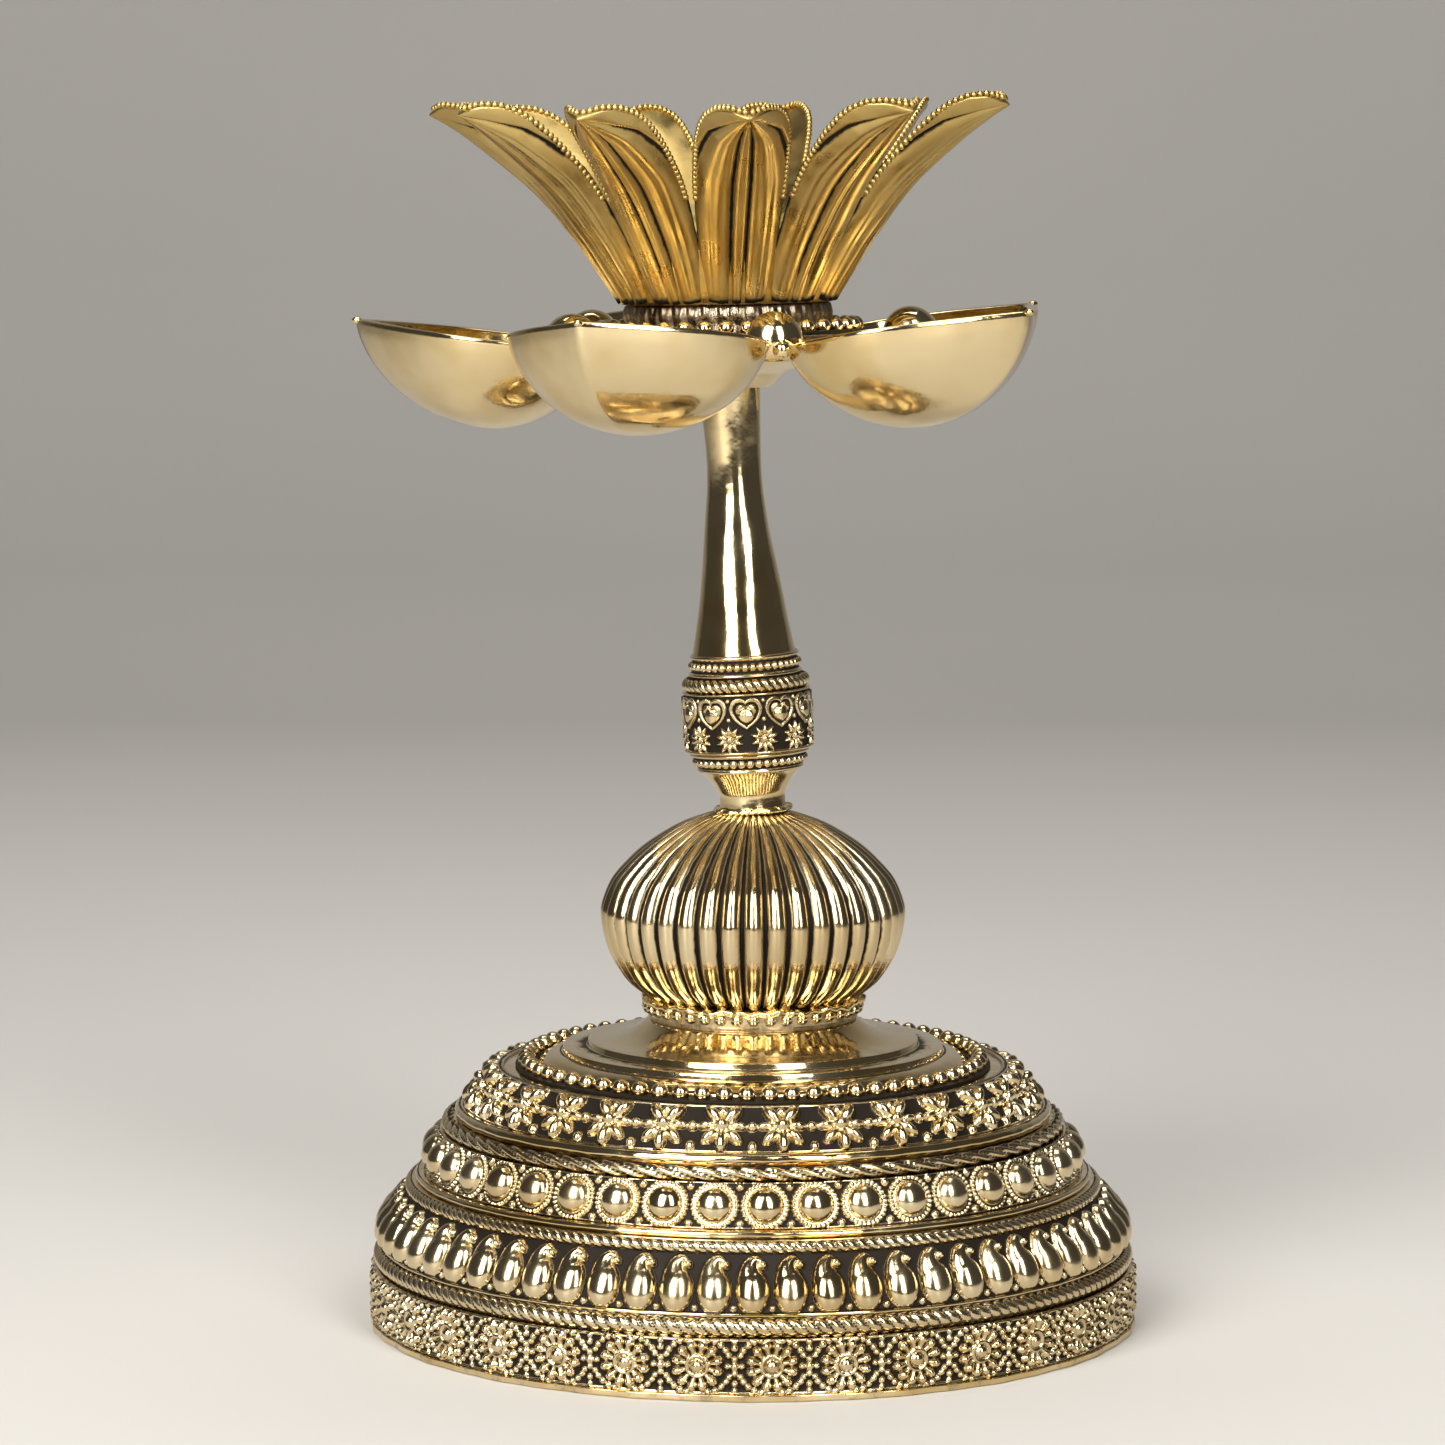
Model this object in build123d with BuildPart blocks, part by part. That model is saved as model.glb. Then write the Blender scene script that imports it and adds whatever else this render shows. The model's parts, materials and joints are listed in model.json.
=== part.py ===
"""Five-wick standing brass oil lamp: stepped base, fluted bulb, leaning stem, oil tray and screw-on lotus.

Millimetres, +Z up, origin at the centre of the foot on the surface the lamp stands on.
"""
from build123d import *
import os
from math import atan2, cos, degrees, hypot, radians, sin

os.makedirs("parts", exist_ok=True)

# ---------------------------------------------------------------- base: overall and wall
FOOT_RADIUS = 57.0
FOOT_RIM_HEIGHT = 1.0
BASE_WALL = 2.8
TRIM_THICK = 0.9  # backing of every ornament band, let into the shell
TRIM_GAP = 0.05  # between one trim ring and the next
RELIEF = 0.9  # how far ornament stands off its band

# ---------------------------------------------------------------- base: bands, from the foot up
ROSETTE_INSET = 1.0  # every inset is measured in from the foot radius
ROSETTE_HEIGHT = 7.8
ROSETTE_COUNT = 34
ROSETTE_RADIUS = 3.7
ROSETTE_EYE_RADIUS = 1.9

FOOT_ROPE_RADIUS = 1.35
FOOT_ROPE_INSET = 2.0
LOWER_LEDGE_RADIUS = 0.5
LOWER_LEDGE_INSET = 2.3

PAISLEY_INSET_LOW = 2.0
PAISLEY_INSET_HIGH = 5.4
PAISLEY_HEIGHT = 6.7
PAISLEY_COUNT = 64
PAISLEY_ANGLE = -84.7
PAISLEY_WIDTH = 4.4
PAISLEY_LENGTH = 6.2

MIDDLE_ROPE_RADIUS = 1.0
MIDDLE_ROPE_INSET = 6.4
MIDDLE_LEDGE_RADIUS = 0.5
MIDDLE_LEDGE_INSET = 7.4

BOSS_INSET_LOW = 8.6
BOSS_INSET_HIGH = 11.0
BOSS_HEIGHT = 6.2
BOSS_COUNT = 42
BOSS_ANGLE = -88.25
BOSS_RADIUS = 2.2
BOSS_COLLAR_RADIUS = 3.0
BOSS_COLLAR_RISE = 0.3

TWIST_RADIUS = 0.8
TWIST_INSET = 12.1
UPPER_LEDGE_RADIUS = 0.9
UPPER_LEDGE_INSET = 13.7

FLOWER_INSET_LOW = 14.6
FLOWER_INSET_HIGH = 19.2
FLOWER_HEIGHT = 5.4
FLOWER_COUNT = 30
FLOWER_ANGLE = -84.45
FLOWER_SIDE = 4.0
FLOWER_BUTTON = 0.9

SHOULDER_BEAD_COUNT = 66
SHOULDER_BEAD_ANGLE = -91.75
SHOULDER_BEAD_RADIUS = 1.2
SHOULDER_BEAD_INSET = 23.4
SHOULDER_SEAT_WIDTH = 3.2
SHOULDER_SEAT_THICK = 0.6
SHOULDER_RISE = 2.3
STEP_ONE_INSET = 28.8
STEP_TWO_INSET = 32.5
STEP_HEIGHT = 0.9
FLARE_HEIGHT = 3.0
FLARE_ROUNDNESS = 1.065  # radius of the flare's arc over the straight distance it spans

# ---------------------------------------------------------------- collar and fluted bulb
COLLAR_RADIUS = 15.3
COLLAR_BORE = 8.0
COLLAR_HEIGHT = 2.6
COLLAR_BEAD_COUNT = 36
COLLAR_BEAD_RADIUS = 1.3
FOOT_BRAZE_THICK = 0.7
FOOT_BRAZE_RADIUS = 16.2

BULB_RADIUS = 22.5
BULB_FOOT_RADIUS = 16.9
BULB_NECK_RADIUS = 5.6
BULB_HEIGHT = 27.4
BULB_BELLY = 0.42  # where the bulb is widest, as a part of its own height
BULB_WALL = 2.6
FLUTE_COUNT = 40
FLUTE_WIDTH = 0.9
FLUTE_DEPTH = 0.8

# ---------------------------------------------------------------- leaning stem
STEM_LEAN = 3.2  # degrees toward -X, from the neck up
TRAY_LEAN = 1.1  # the tray and lotus sit straighter than the stem that carries them
STEM_TOP_SPARE = 1.5  # stem metal left above the shoulder before it is faced square to the tray
STEM_NECK_RADIUS = 4.9
STEM_NECK_HEIGHT = 2.2
STEM_LENGTH = 62.5  # from the neck seat to the shoulder that carries the tray
STEM_WAIST_RADIUS = 4.0
STEM_WAIST_LEVEL = 49.0
STEM_TOP_RADIUS = 4.5
SPIGOT_RADIUS = 2.9
SPIGOT_LENGTH = 4.0
NECK_BRAZE_THICK = 0.8
NECK_BRAZE_RADIUS = 5.8
KNOP_TAPER_RADIUS = 7.3
KNOP_TAPER_HEIGHT = 3.3
KNOP_LOWER_RING_RADIUS = 8.6
KNOP_LOWER_RING_HEIGHT = 3.0
KNOP_LOWER_BEADS = 40
KNOP_BELT_RADIUS = 9.1
KNOP_BELT_HEIGHT = 8.9
KNOP_ROPE_RADIUS = 1.05
KNOP_ROPE_SEAT = 8.4
KNOP_UPPER_RING_RADIUS = 8.0
KNOP_UPPER_RING_HEIGHT = 3.3
KNOP_UPPER_BEADS = 42
KNOP_TOP_RADIUS = 7.6
KNOP_BEAD_RADIUS = 0.54
KNOP_TRIM_THICK = 0.8
KNOP_RELIEF = 0.6
HEART_COUNT = 11
HEART_ANGLE = -91.5
HEART_SIZE = 2.3
HEART_RISE = 6.1  # heart centre above the foot of the belt
DAISY_PETALS = 10
DAISY_RADIUS = 2.0
DAISY_RISE = 2.3

# ---------------------------------------------------------------- oil tray, turns on the stem
RUN_GAP = 0.05  # running clearance of every turning or sliding fit, on the radius and under each seat
PIVOT_RADIUS = 3.6
PIVOT_SHORT = 0.4  # the pivot stops this far under the tray's top, so that the lotus clamps the tray
HUB_HEIGHT = 7.85
HUB_FOOT_RADIUS = 6.2
TRAY_RADIUS = 19.8
TRAY_EDGE = 2.0
TRAY_BEAD_COUNT = 38
TRAY_BEAD_RADIUS = 1.1
TRAY_BEAD_SEAT = 0.5

BOWL_COUNT = 5
BOWL_ANGLE = -112.0
BOWL_LENGTH = 37.0
BOWL_WIDTH = 37.0
BOWL_DEPTH = 13.4
BOWL_TIP_RADIUS = 55.2
BOWL_WALL = 1.3
BOWL_TILT = 8.0  # degrees the bowls rise toward their tips
BOWL_RIM_DROP = 2.1  # rim below the tray's top face where a bowl meets the tray

DOME_RADIUS = 4.1
DOME_DROP = 0.5  # dome centre below the tray's top face
DOME_HEIGHT = 3.0  # from its centre down to the flat underside of the dome
DOME_REACH = 26.6
DOME_BALL_RADIUS = 1.3

# ---------------------------------------------------------------- lotus finial, screws into the stem
WASHER_RADIUS = 15.4
WASHER_THICK = 4.35
STUD_RADIUS = 2.45
STUD_REACH = 24.5  # below the lotus seat
STUD_BORE_MARGIN = 1.0
LOTUS_BASE_RADIUS = 16.1
LOTUS_HEIGHT = 30.2
LOTUS_CUP_HEIGHT = 8.0
LOTUS_FLOOR = 2.4
LOTUS_BOSS_RADIUS = 5.5
LOTUS_BOSS_RISE = 2.0
LOTUS_CUP_RADIUS = 20.6
LOTUS_TIP_RADIUS = 42.9
LOTUS_WALL = 1.7
PETAL_COUNT = 11
PETAL_ANGLE = -85.4
PETAL_SPREAD = 27.6  # degrees of the circle that one petal takes


# ---------------------------------------------------------------- levels and radii that follow
def from_foot(inset):
    """Radius of a base feature, measured in from the foot."""
    return FOOT_RADIUS - inset


def band_normal(radius_low, radius_high, height):
    """Outward normal of a conical band in its radius-height plane."""
    run = radius_high - radius_low
    length = hypot(run, height)
    return height / length, -run / length


rosette_z = FOOT_RIM_HEIGHT
foot_rope_z = rosette_z + ROSETTE_HEIGHT + TRIM_GAP + FOOT_ROPE_RADIUS
lower_ledge_z = foot_rope_z + FOOT_ROPE_RADIUS + 2 * TRIM_GAP + LOWER_LEDGE_RADIUS
paisley_z = lower_ledge_z + LOWER_LEDGE_RADIUS + TRIM_GAP
middle_rope_z = paisley_z + PAISLEY_HEIGHT + TRIM_GAP + MIDDLE_ROPE_RADIUS
middle_ledge_z = middle_rope_z + MIDDLE_ROPE_RADIUS + 2 * TRIM_GAP + MIDDLE_LEDGE_RADIUS
boss_z = middle_ledge_z + MIDDLE_LEDGE_RADIUS + TRIM_GAP
twist_z = boss_z + BOSS_HEIGHT + TRIM_GAP + TWIST_RADIUS
upper_ledge_z = twist_z + TWIST_RADIUS + 2 * TRIM_GAP + UPPER_LEDGE_RADIUS
flower_z = upper_ledge_z + UPPER_LEDGE_RADIUS + TRIM_GAP
shoulder_z = flower_z + FLOWER_HEIGHT
step_one_z = shoulder_z + SHOULDER_RISE
step_two_z = step_one_z + STEP_HEIGHT
base_top_z = step_two_z + STEP_HEIGHT + FLARE_HEIGHT
collar_top_z = base_top_z + COLLAR_HEIGHT
bulb_z = collar_top_z + FOOT_BRAZE_THICK
neck_z = bulb_z + BULB_HEIGHT

bead_seat_out = from_foot(SHOULDER_BEAD_INSET) + SHOULDER_SEAT_WIDTH / 2
bead_seat_in = from_foot(SHOULDER_BEAD_INSET) - SHOULDER_SEAT_WIDTH / 2

# Leaning frame: origin on the bulb's neck, local Z up the stem.
LEAN_UP = (-sin(radians(STEM_LEAN)), 0, cos(radians(STEM_LEAN)))
LEAN_RIGHT = (cos(radians(STEM_LEAN)), 0, sin(radians(STEM_LEAN)))
LEAN = Plane(origin=(0, 0, neck_z), x_dir=LEAN_RIGHT, z_dir=LEAN_UP)
LEAN_SIDE = Plane(origin=(0, 0, neck_z), x_dir=LEAN_RIGHT, z_dir=(0, -1, 0))
LEAN_AXIS = Axis((0, 0, neck_z), LEAN_UP)

lower_ring_level = NECK_BRAZE_THICK + STEM_NECK_HEIGHT + KNOP_TAPER_HEIGHT
belt_level = lower_ring_level + KNOP_LOWER_RING_HEIGHT
knop_rope_level = belt_level + KNOP_BELT_HEIGHT + KNOP_ROPE_RADIUS
upper_ring_level = knop_rope_level + KNOP_ROPE_RADIUS
knop_top_level = upper_ring_level + KNOP_UPPER_RING_HEIGHT

# Tray frame: origin on the stem's shoulder, local Z up the axis the tray and the lotus turn on.
TRAY_UP = (-sin(radians(TRAY_LEAN)), 0, cos(radians(TRAY_LEAN)))
TRAY_RIGHT = (cos(radians(TRAY_LEAN)), 0, sin(radians(TRAY_LEAN)))
tray_x = STEM_LENGTH * LEAN_UP[0]
tray_z = neck_z + STEM_LENGTH * LEAN_UP[2]
TRAY = Plane(origin=(tray_x, 0, tray_z), x_dir=TRAY_RIGHT, z_dir=TRAY_UP)
TRAY_SIDE = Plane(origin=(tray_x, 0, tray_z), x_dir=TRAY_RIGHT, z_dir=(0, -1, 0))
TRAY_AXIS = Axis((tray_x, 0, tray_z), TRAY_UP)

hub_z = RUN_GAP
tray_top_z = hub_z + HUB_HEIGHT
washer_z = tray_top_z + RUN_GAP
lotus_z = washer_z + WASHER_THICK + RUN_GAP
pivot_top_z = tray_top_z - PIVOT_SHORT
stud_bottom_z = lotus_z - STUD_REACH
rim_z = tray_top_z - BOWL_RIM_DROP
dome_z = tray_top_z - DOME_DROP

# Rim plane of the bowl on the +X side, in the upright tray frame: it rises outward from the tray's edge.
RIM_UP = (-sin(radians(BOWL_TILT)), 0, cos(radians(BOWL_TILT)))
RIM_OUT = (cos(radians(BOWL_TILT)), 0, sin(radians(BOWL_TILT)))
RIM = Plane(origin=(TRAY_RADIUS, 0, rim_z), x_dir=RIM_OUT, z_dir=RIM_UP)


# ---------------------------------------------------------------- 1. base shell
def make_base_shell():
    outline = [
        (FOOT_RADIUS, 0),
        (FOOT_RADIUS, rosette_z),
        (from_foot(ROSETTE_INSET) - TRIM_THICK, rosette_z),
        (from_foot(ROSETTE_INSET) - TRIM_THICK, rosette_z + ROSETTE_HEIGHT),
        (from_foot(FOOT_ROPE_INSET), rosette_z + ROSETTE_HEIGHT),
        (from_foot(FOOT_ROPE_INSET), foot_rope_z + FOOT_ROPE_RADIUS + TRIM_GAP),
        (from_foot(LOWER_LEDGE_INSET), foot_rope_z + FOOT_ROPE_RADIUS + TRIM_GAP),
        (from_foot(LOWER_LEDGE_INSET), paisley_z),
        (from_foot(PAISLEY_INSET_LOW) - TRIM_THICK, paisley_z),
        (from_foot(PAISLEY_INSET_HIGH) - TRIM_THICK, paisley_z + PAISLEY_HEIGHT),
        (from_foot(MIDDLE_ROPE_INSET), paisley_z + PAISLEY_HEIGHT),
        (from_foot(MIDDLE_ROPE_INSET), middle_rope_z + MIDDLE_ROPE_RADIUS + TRIM_GAP),
        (from_foot(MIDDLE_LEDGE_INSET), middle_rope_z + MIDDLE_ROPE_RADIUS + TRIM_GAP),
        (from_foot(MIDDLE_LEDGE_INSET), boss_z),
        (from_foot(BOSS_INSET_LOW) - TRIM_THICK, boss_z),
        (from_foot(BOSS_INSET_HIGH) - TRIM_THICK, boss_z + BOSS_HEIGHT),
        (from_foot(TWIST_INSET), boss_z + BOSS_HEIGHT),
        (from_foot(TWIST_INSET), twist_z + TWIST_RADIUS + TRIM_GAP),
        (from_foot(UPPER_LEDGE_INSET), twist_z + TWIST_RADIUS + TRIM_GAP),
        (from_foot(UPPER_LEDGE_INSET), flower_z),
        (from_foot(FLOWER_INSET_LOW) - TRIM_THICK, flower_z),
        (from_foot(FLOWER_INSET_HIGH) - TRIM_THICK, shoulder_z),
        (bead_seat_in, shoulder_z),
        (bead_seat_in, step_one_z - STEP_HEIGHT),
        (from_foot(STEP_ONE_INSET), step_one_z),
        (from_foot(STEP_ONE_INSET), step_two_z),
        (from_foot(STEP_TWO_INSET), step_two_z),
        (from_foot(STEP_TWO_INSET), step_two_z + STEP_HEIGHT),
    ]
    flare_end = (COLLAR_RADIUS + COLLAR_BEAD_RADIUS, base_top_z)
    flare_span = hypot(outline[-1][0] - flare_end[0], outline[-1][1] - flare_end[1])
    inside = [
        (0, base_top_z),
        (0, shoulder_z - BASE_WALL),
        (from_foot(FLOWER_INSET_HIGH) - TRIM_THICK - BASE_WALL, shoulder_z - BASE_WALL),
        (from_foot(FLOWER_INSET_LOW) - TRIM_THICK - BASE_WALL, flower_z),
        (from_foot(BOSS_INSET_HIGH) - TRIM_THICK - BASE_WALL, boss_z + BOSS_HEIGHT),
        (from_foot(BOSS_INSET_LOW) - TRIM_THICK - BASE_WALL, boss_z),
        (from_foot(PAISLEY_INSET_HIGH) - TRIM_THICK - BASE_WALL, paisley_z + PAISLEY_HEIGHT),
        (from_foot(PAISLEY_INSET_LOW) - TRIM_THICK - BASE_WALL, paisley_z),
        (from_foot(ROSETTE_INSET) - TRIM_THICK - BASE_WALL, 0),
        (FOOT_RADIUS, 0),
    ]
    with BuildPart() as base_shell:
        with BuildSketch(Plane.XZ):
            with BuildLine():
                Polyline(*outline)
                RadiusArc(outline[-1], flare_end, FLARE_ROUNDNESS * flare_span)
                Polyline(flare_end, *inside)
            make_face()
        revolve(axis=Axis.Z)
    return base_shell


# ---------------------------------------------------------------- 2. half-round rings and ropes of the base
def half_round(radius, level, wire):
    """Section of a half-round wire whose flat back lies on a wall of the given radius."""
    return (radius, level - wire), (radius + wire, level), (radius, level + wire)


def make_ring(inset, level, wire):
    section = half_round(from_foot(inset), level, wire)
    with BuildPart() as ring:
        with BuildSketch(Plane.XZ):
            with BuildLine():
                ThreePointArc(*section)
                Line(section[2], section[0])
            make_face()
        revolve(axis=Axis.Z)
    return ring


# ---------------------------------------------------------------- 3. ornament bands of the base
def band_outline(inset_low, inset_high, level, height):
    """Section of an ornament band's backing ring, seated on the shell's cone."""
    low = from_foot(inset_low)
    high = from_foot(inset_high)
    return [
        (low - TRIM_THICK, level),
        (low, level),
        (high, level + height),
        (high - TRIM_THICK, level + height),
    ]


def band_plane(inset_low, inset_high, level, height, sink):
    """Working plane at the middle of a band, on the +X side, facing out, sunk below the ground."""
    low = from_foot(inset_low)
    high = from_foot(inset_high)
    out_r, out_z = band_normal(low, high, height)
    origin = ((low + high) / 2 - sink * out_r, 0, level + height / 2 - sink * out_z)
    return Plane(origin=origin, x_dir=(0, 1, 0), z_dir=(out_r, 0, out_z))


def make_rosette_band():
    face = band_plane(ROSETTE_INSET, ROSETTE_INSET, rosette_z, ROSETTE_HEIGHT, TRIM_THICK / 2)
    with BuildPart() as rosette:
        with BuildSketch(face):
            Circle(ROSETTE_RADIUS)
        extrude(amount=TRIM_THICK / 2 + RELIEF / 2)
        with BuildSketch(face):
            Circle(ROSETTE_EYE_RADIUS)
        extrude(amount=TRIM_THICK / 2 + RELIEF)
        chamfer(rosette.faces().sort_by(Axis.X)[-1].edges(), RELIEF / 3)
    with BuildPart() as rosette_band:
        with BuildSketch(Plane.XZ):
            with BuildLine():
                Polyline(*band_outline(ROSETTE_INSET, ROSETTE_INSET, rosette_z, ROSETTE_HEIGHT), close=True)
            make_face()
        revolve(axis=Axis.Z)
        with PolarLocations(0, ROSETTE_COUNT):
            add(rosette.part)
    return rosette_band


def make_paisley_band():
    face = band_plane(PAISLEY_INSET_LOW, PAISLEY_INSET_HIGH, paisley_z, PAISLEY_HEIGHT, TRIM_THICK / 2)
    belly = PAISLEY_WIDTH / 2
    foot = -PAISLEY_LENGTH / 2
    with BuildPart() as paisley:
        with BuildSketch(face):
            with BuildLine():
                ThreePointArc((-belly, foot + belly), (0, foot), (belly, foot + belly))
                Polyline(
                    (belly, foot + belly),
                    (belly * 0.4, belly * 0.5),
                    (belly * 0.8, -foot * 0.8),
                    (belly * 0.3, -foot),
                    (-belly * 0.5, -foot * 0.5),
                    (-belly, foot + belly),
                )
            make_face()
        extrude(amount=TRIM_THICK / 2 + RELIEF)
    with BuildPart() as paisley_band:
        with BuildSketch(Plane.XZ):
            with BuildLine():
                Polyline(
                    *band_outline(PAISLEY_INSET_LOW, PAISLEY_INSET_HIGH, paisley_z, PAISLEY_HEIGHT),
                    close=True,
                )
            make_face()
        revolve(axis=Axis.Z)
        with PolarLocations(0, PAISLEY_COUNT, start_angle=PAISLEY_ANGLE):
            add(paisley.part)
    return paisley_band


def make_boss_band():
    face = band_plane(BOSS_INSET_LOW, BOSS_INSET_HIGH, boss_z, BOSS_HEIGHT, TRIM_THICK / 2)
    with BuildPart() as boss:
        with BuildSketch(face):
            Circle(BOSS_COLLAR_RADIUS)
        extrude(amount=TRIM_THICK / 2 + BOSS_COLLAR_RISE)
        with Locations(face.offset(TRIM_THICK / 2)):
            Sphere(BOSS_RADIUS)
        split(bisect_by=face, keep=Keep.TOP)
    with BuildPart() as boss_band:
        with BuildSketch(Plane.XZ):
            with BuildLine():
                Polyline(*band_outline(BOSS_INSET_LOW, BOSS_INSET_HIGH, boss_z, BOSS_HEIGHT), close=True)
            make_face()
        revolve(axis=Axis.Z)
        with PolarLocations(0, BOSS_COUNT, start_angle=BOSS_ANGLE):
            add(boss.part)
    return boss_band


def make_star_flower_band():
    face = band_plane(FLOWER_INSET_LOW, FLOWER_INSET_HIGH, flower_z, FLOWER_HEIGHT, TRIM_THICK / 2)
    with BuildPart() as flower:
        with BuildSketch(face):
            Rectangle(FLOWER_SIDE, FLOWER_SIDE)
            Rectangle(FLOWER_SIDE, FLOWER_SIDE, rotation=45)
        extrude(amount=TRIM_THICK / 2 + RELIEF * 0.7)
        with Locations(face.offset(TRIM_THICK / 2 + RELIEF * 0.7)):
            Sphere(FLOWER_BUTTON)
    with BuildPart() as star_flower_band:
        with BuildSketch(Plane.XZ):
            with BuildLine():
                Polyline(
                    *band_outline(FLOWER_INSET_LOW, FLOWER_INSET_HIGH, flower_z, FLOWER_HEIGHT),
                    close=True,
                )
            make_face()
        revolve(axis=Axis.Z)
        with PolarLocations(0, FLOWER_COUNT, start_angle=FLOWER_ANGLE):
            add(flower.part)
    return star_flower_band


def make_shoulder_bead_ring():
    with BuildPart() as shoulder_bead_ring:
        with BuildSketch(Plane.XY.offset(shoulder_z)):
            Circle(bead_seat_out)
            Circle(bead_seat_in, mode=Mode.SUBTRACT)
        extrude(amount=SHOULDER_SEAT_THICK)
        with Locations((0, 0, shoulder_z + SHOULDER_BEAD_RADIUS)):
            with PolarLocations(from_foot(SHOULDER_BEAD_INSET), SHOULDER_BEAD_COUNT, start_angle=SHOULDER_BEAD_ANGLE):
                Sphere(SHOULDER_BEAD_RADIUS)
    return shoulder_bead_ring


# ---------------------------------------------------------------- 4. collar, bulb and the neck seat
def make_bulb_foot_collar():
    with BuildPart() as bulb_foot_collar:
        with BuildSketch(Plane.XY.offset(base_top_z)):
            Circle(COLLAR_RADIUS)
            Circle(COLLAR_BORE, mode=Mode.SUBTRACT)
        extrude(amount=COLLAR_HEIGHT)
        with Locations((0, 0, base_top_z + COLLAR_HEIGHT / 2)):
            with PolarLocations(COLLAR_RADIUS, COLLAR_BEAD_COUNT):
                Sphere(COLLAR_BEAD_RADIUS)
    return bulb_foot_collar


def bulb_line(shrink):
    """Meridian of the bulb from its foot to its neck, moved in by shrink."""
    belly_z = bulb_z + BULB_BELLY * BULB_HEIGHT
    half_z = (belly_z + neck_z) / 2
    half_r = (BULB_RADIUS + BULB_NECK_RADIUS) / 2 + 0.28 * (BULB_RADIUS - BULB_NECK_RADIUS)
    return [
        (BULB_FOOT_RADIUS - shrink, bulb_z),
        ((BULB_FOOT_RADIUS + 2 * BULB_RADIUS) / 3 - shrink, bulb_z + 0.4 * BULB_BELLY * BULB_HEIGHT),
        (BULB_RADIUS - shrink, belly_z),
        (half_r - shrink, half_z),
        (BULB_NECK_RADIUS - shrink, neck_z),
    ]


def make_fluted_bulb():
    outer = bulb_line(0)
    groove = bulb_line(FLUTE_DEPTH)
    inner = bulb_line(BULB_WALL)
    cover = BULB_RADIUS + FLUTE_DEPTH
    with BuildPart() as flute:
        with BuildSketch(Plane.XZ):
            with BuildLine():
                Spline(*groove)
                Polyline(groove[-1], (cover, neck_z), (cover, bulb_z), groove[0])
            make_face()
        extrude(amount=FLUTE_WIDTH / 2, both=True)
    with BuildPart() as fluted_bulb:
        with BuildSketch(Plane.XZ):
            with BuildLine():
                Spline(*outer)
                Polyline(outer[-1], (0, neck_z), (0, bulb_z), outer[0])
            make_face()
        revolve(axis=Axis.Z)
        with BuildSketch(Plane.XZ):
            with BuildLine():
                Spline(*inner)
                Polyline(inner[-1], (0, neck_z), (0, bulb_z), inner[0])
            make_face()
            with Locations((0, neck_z)):
                Rectangle(
                    4 * BULB_RADIUS,
                    2 * (SPIGOT_LENGTH + BULB_WALL),
                    mode=Mode.SUBTRACT,
                )
        revolve(axis=Axis.Z, mode=Mode.SUBTRACT)
        with PolarLocations(0, FLUTE_COUNT):
            add(flute.part, mode=Mode.SUBTRACT)
        with BuildSketch(LEAN):
            Circle(2 * BULB_RADIUS)
        extrude(amount=BULB_HEIGHT, mode=Mode.SUBTRACT)
        with BuildSketch(LEAN):
            Circle(SPIGOT_RADIUS)
        extrude(amount=-SPIGOT_LENGTH, mode=Mode.SUBTRACT)
    return fluted_bulb


def make_bulb_foot_braze():
    with BuildPart() as bulb_foot_braze:
        with BuildSketch(Plane.XY.offset(collar_top_z)):
            Circle(FOOT_BRAZE_RADIUS)
            Circle(COLLAR_BORE, mode=Mode.SUBTRACT)
        extrude(amount=FOOT_BRAZE_THICK)
    return bulb_foot_braze


# ---------------------------------------------------------------- 5. leaning stem with its knop
def make_stem():
    lower_seat = KNOP_TAPER_RADIUS - KNOP_TRIM_THICK
    upper_seat = KNOP_TOP_RADIUS - KNOP_TRIM_THICK
    belt_seat = KNOP_BELT_RADIUS - KNOP_TRIM_THICK
    knop = [
        (0, -SPIGOT_LENGTH),
        (SPIGOT_RADIUS, -SPIGOT_LENGTH),
        (SPIGOT_RADIUS, NECK_BRAZE_THICK),
        (STEM_NECK_RADIUS, NECK_BRAZE_THICK),
        (STEM_NECK_RADIUS, NECK_BRAZE_THICK + STEM_NECK_HEIGHT),
        (KNOP_TAPER_RADIUS, lower_ring_level),
        (lower_seat, lower_ring_level),
        (lower_seat, belt_level),
        (belt_seat, belt_level),
        (belt_seat, belt_level + KNOP_BELT_HEIGHT),
        (KNOP_ROPE_SEAT, belt_level + KNOP_BELT_HEIGHT),
        (KNOP_ROPE_SEAT, upper_ring_level),
        (upper_seat, upper_ring_level),
        (upper_seat, knop_top_level),
        (KNOP_TOP_RADIUS, knop_top_level),
    ]
    with BuildPart() as stem:
        with BuildSketch(LEAN_SIDE):
            with BuildLine():
                Polyline(*knop)
                Spline(
                    knop[-1],
                    (STEM_WAIST_RADIUS, STEM_WAIST_LEVEL),
                    (STEM_TOP_RADIUS, STEM_LENGTH + STEM_TOP_SPARE),
                    tangents=((-0.22, 1.0), (0.06, 1.0)),
                )
                Polyline(
                    (STEM_TOP_RADIUS, STEM_LENGTH + STEM_TOP_SPARE),
                    (0, STEM_LENGTH + STEM_TOP_SPARE),
                    knop[0],
                )
            make_face()
        revolve(axis=LEAN_AXIS)
        with BuildSketch(TRAY):
            Circle(3 * STEM_TOP_RADIUS)
        extrude(amount=3 * STEM_TOP_SPARE, mode=Mode.SUBTRACT)
        with BuildSketch(TRAY):
            Circle(PIVOT_RADIUS)
        extrude(amount=pivot_top_z)
        with BuildSketch(TRAY.offset(pivot_top_z)):
            Circle(STUD_RADIUS + RUN_GAP)
        extrude(amount=-(pivot_top_z - stud_bottom_z + STUD_BORE_MARGIN), mode=Mode.SUBTRACT)
    return stem


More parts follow.
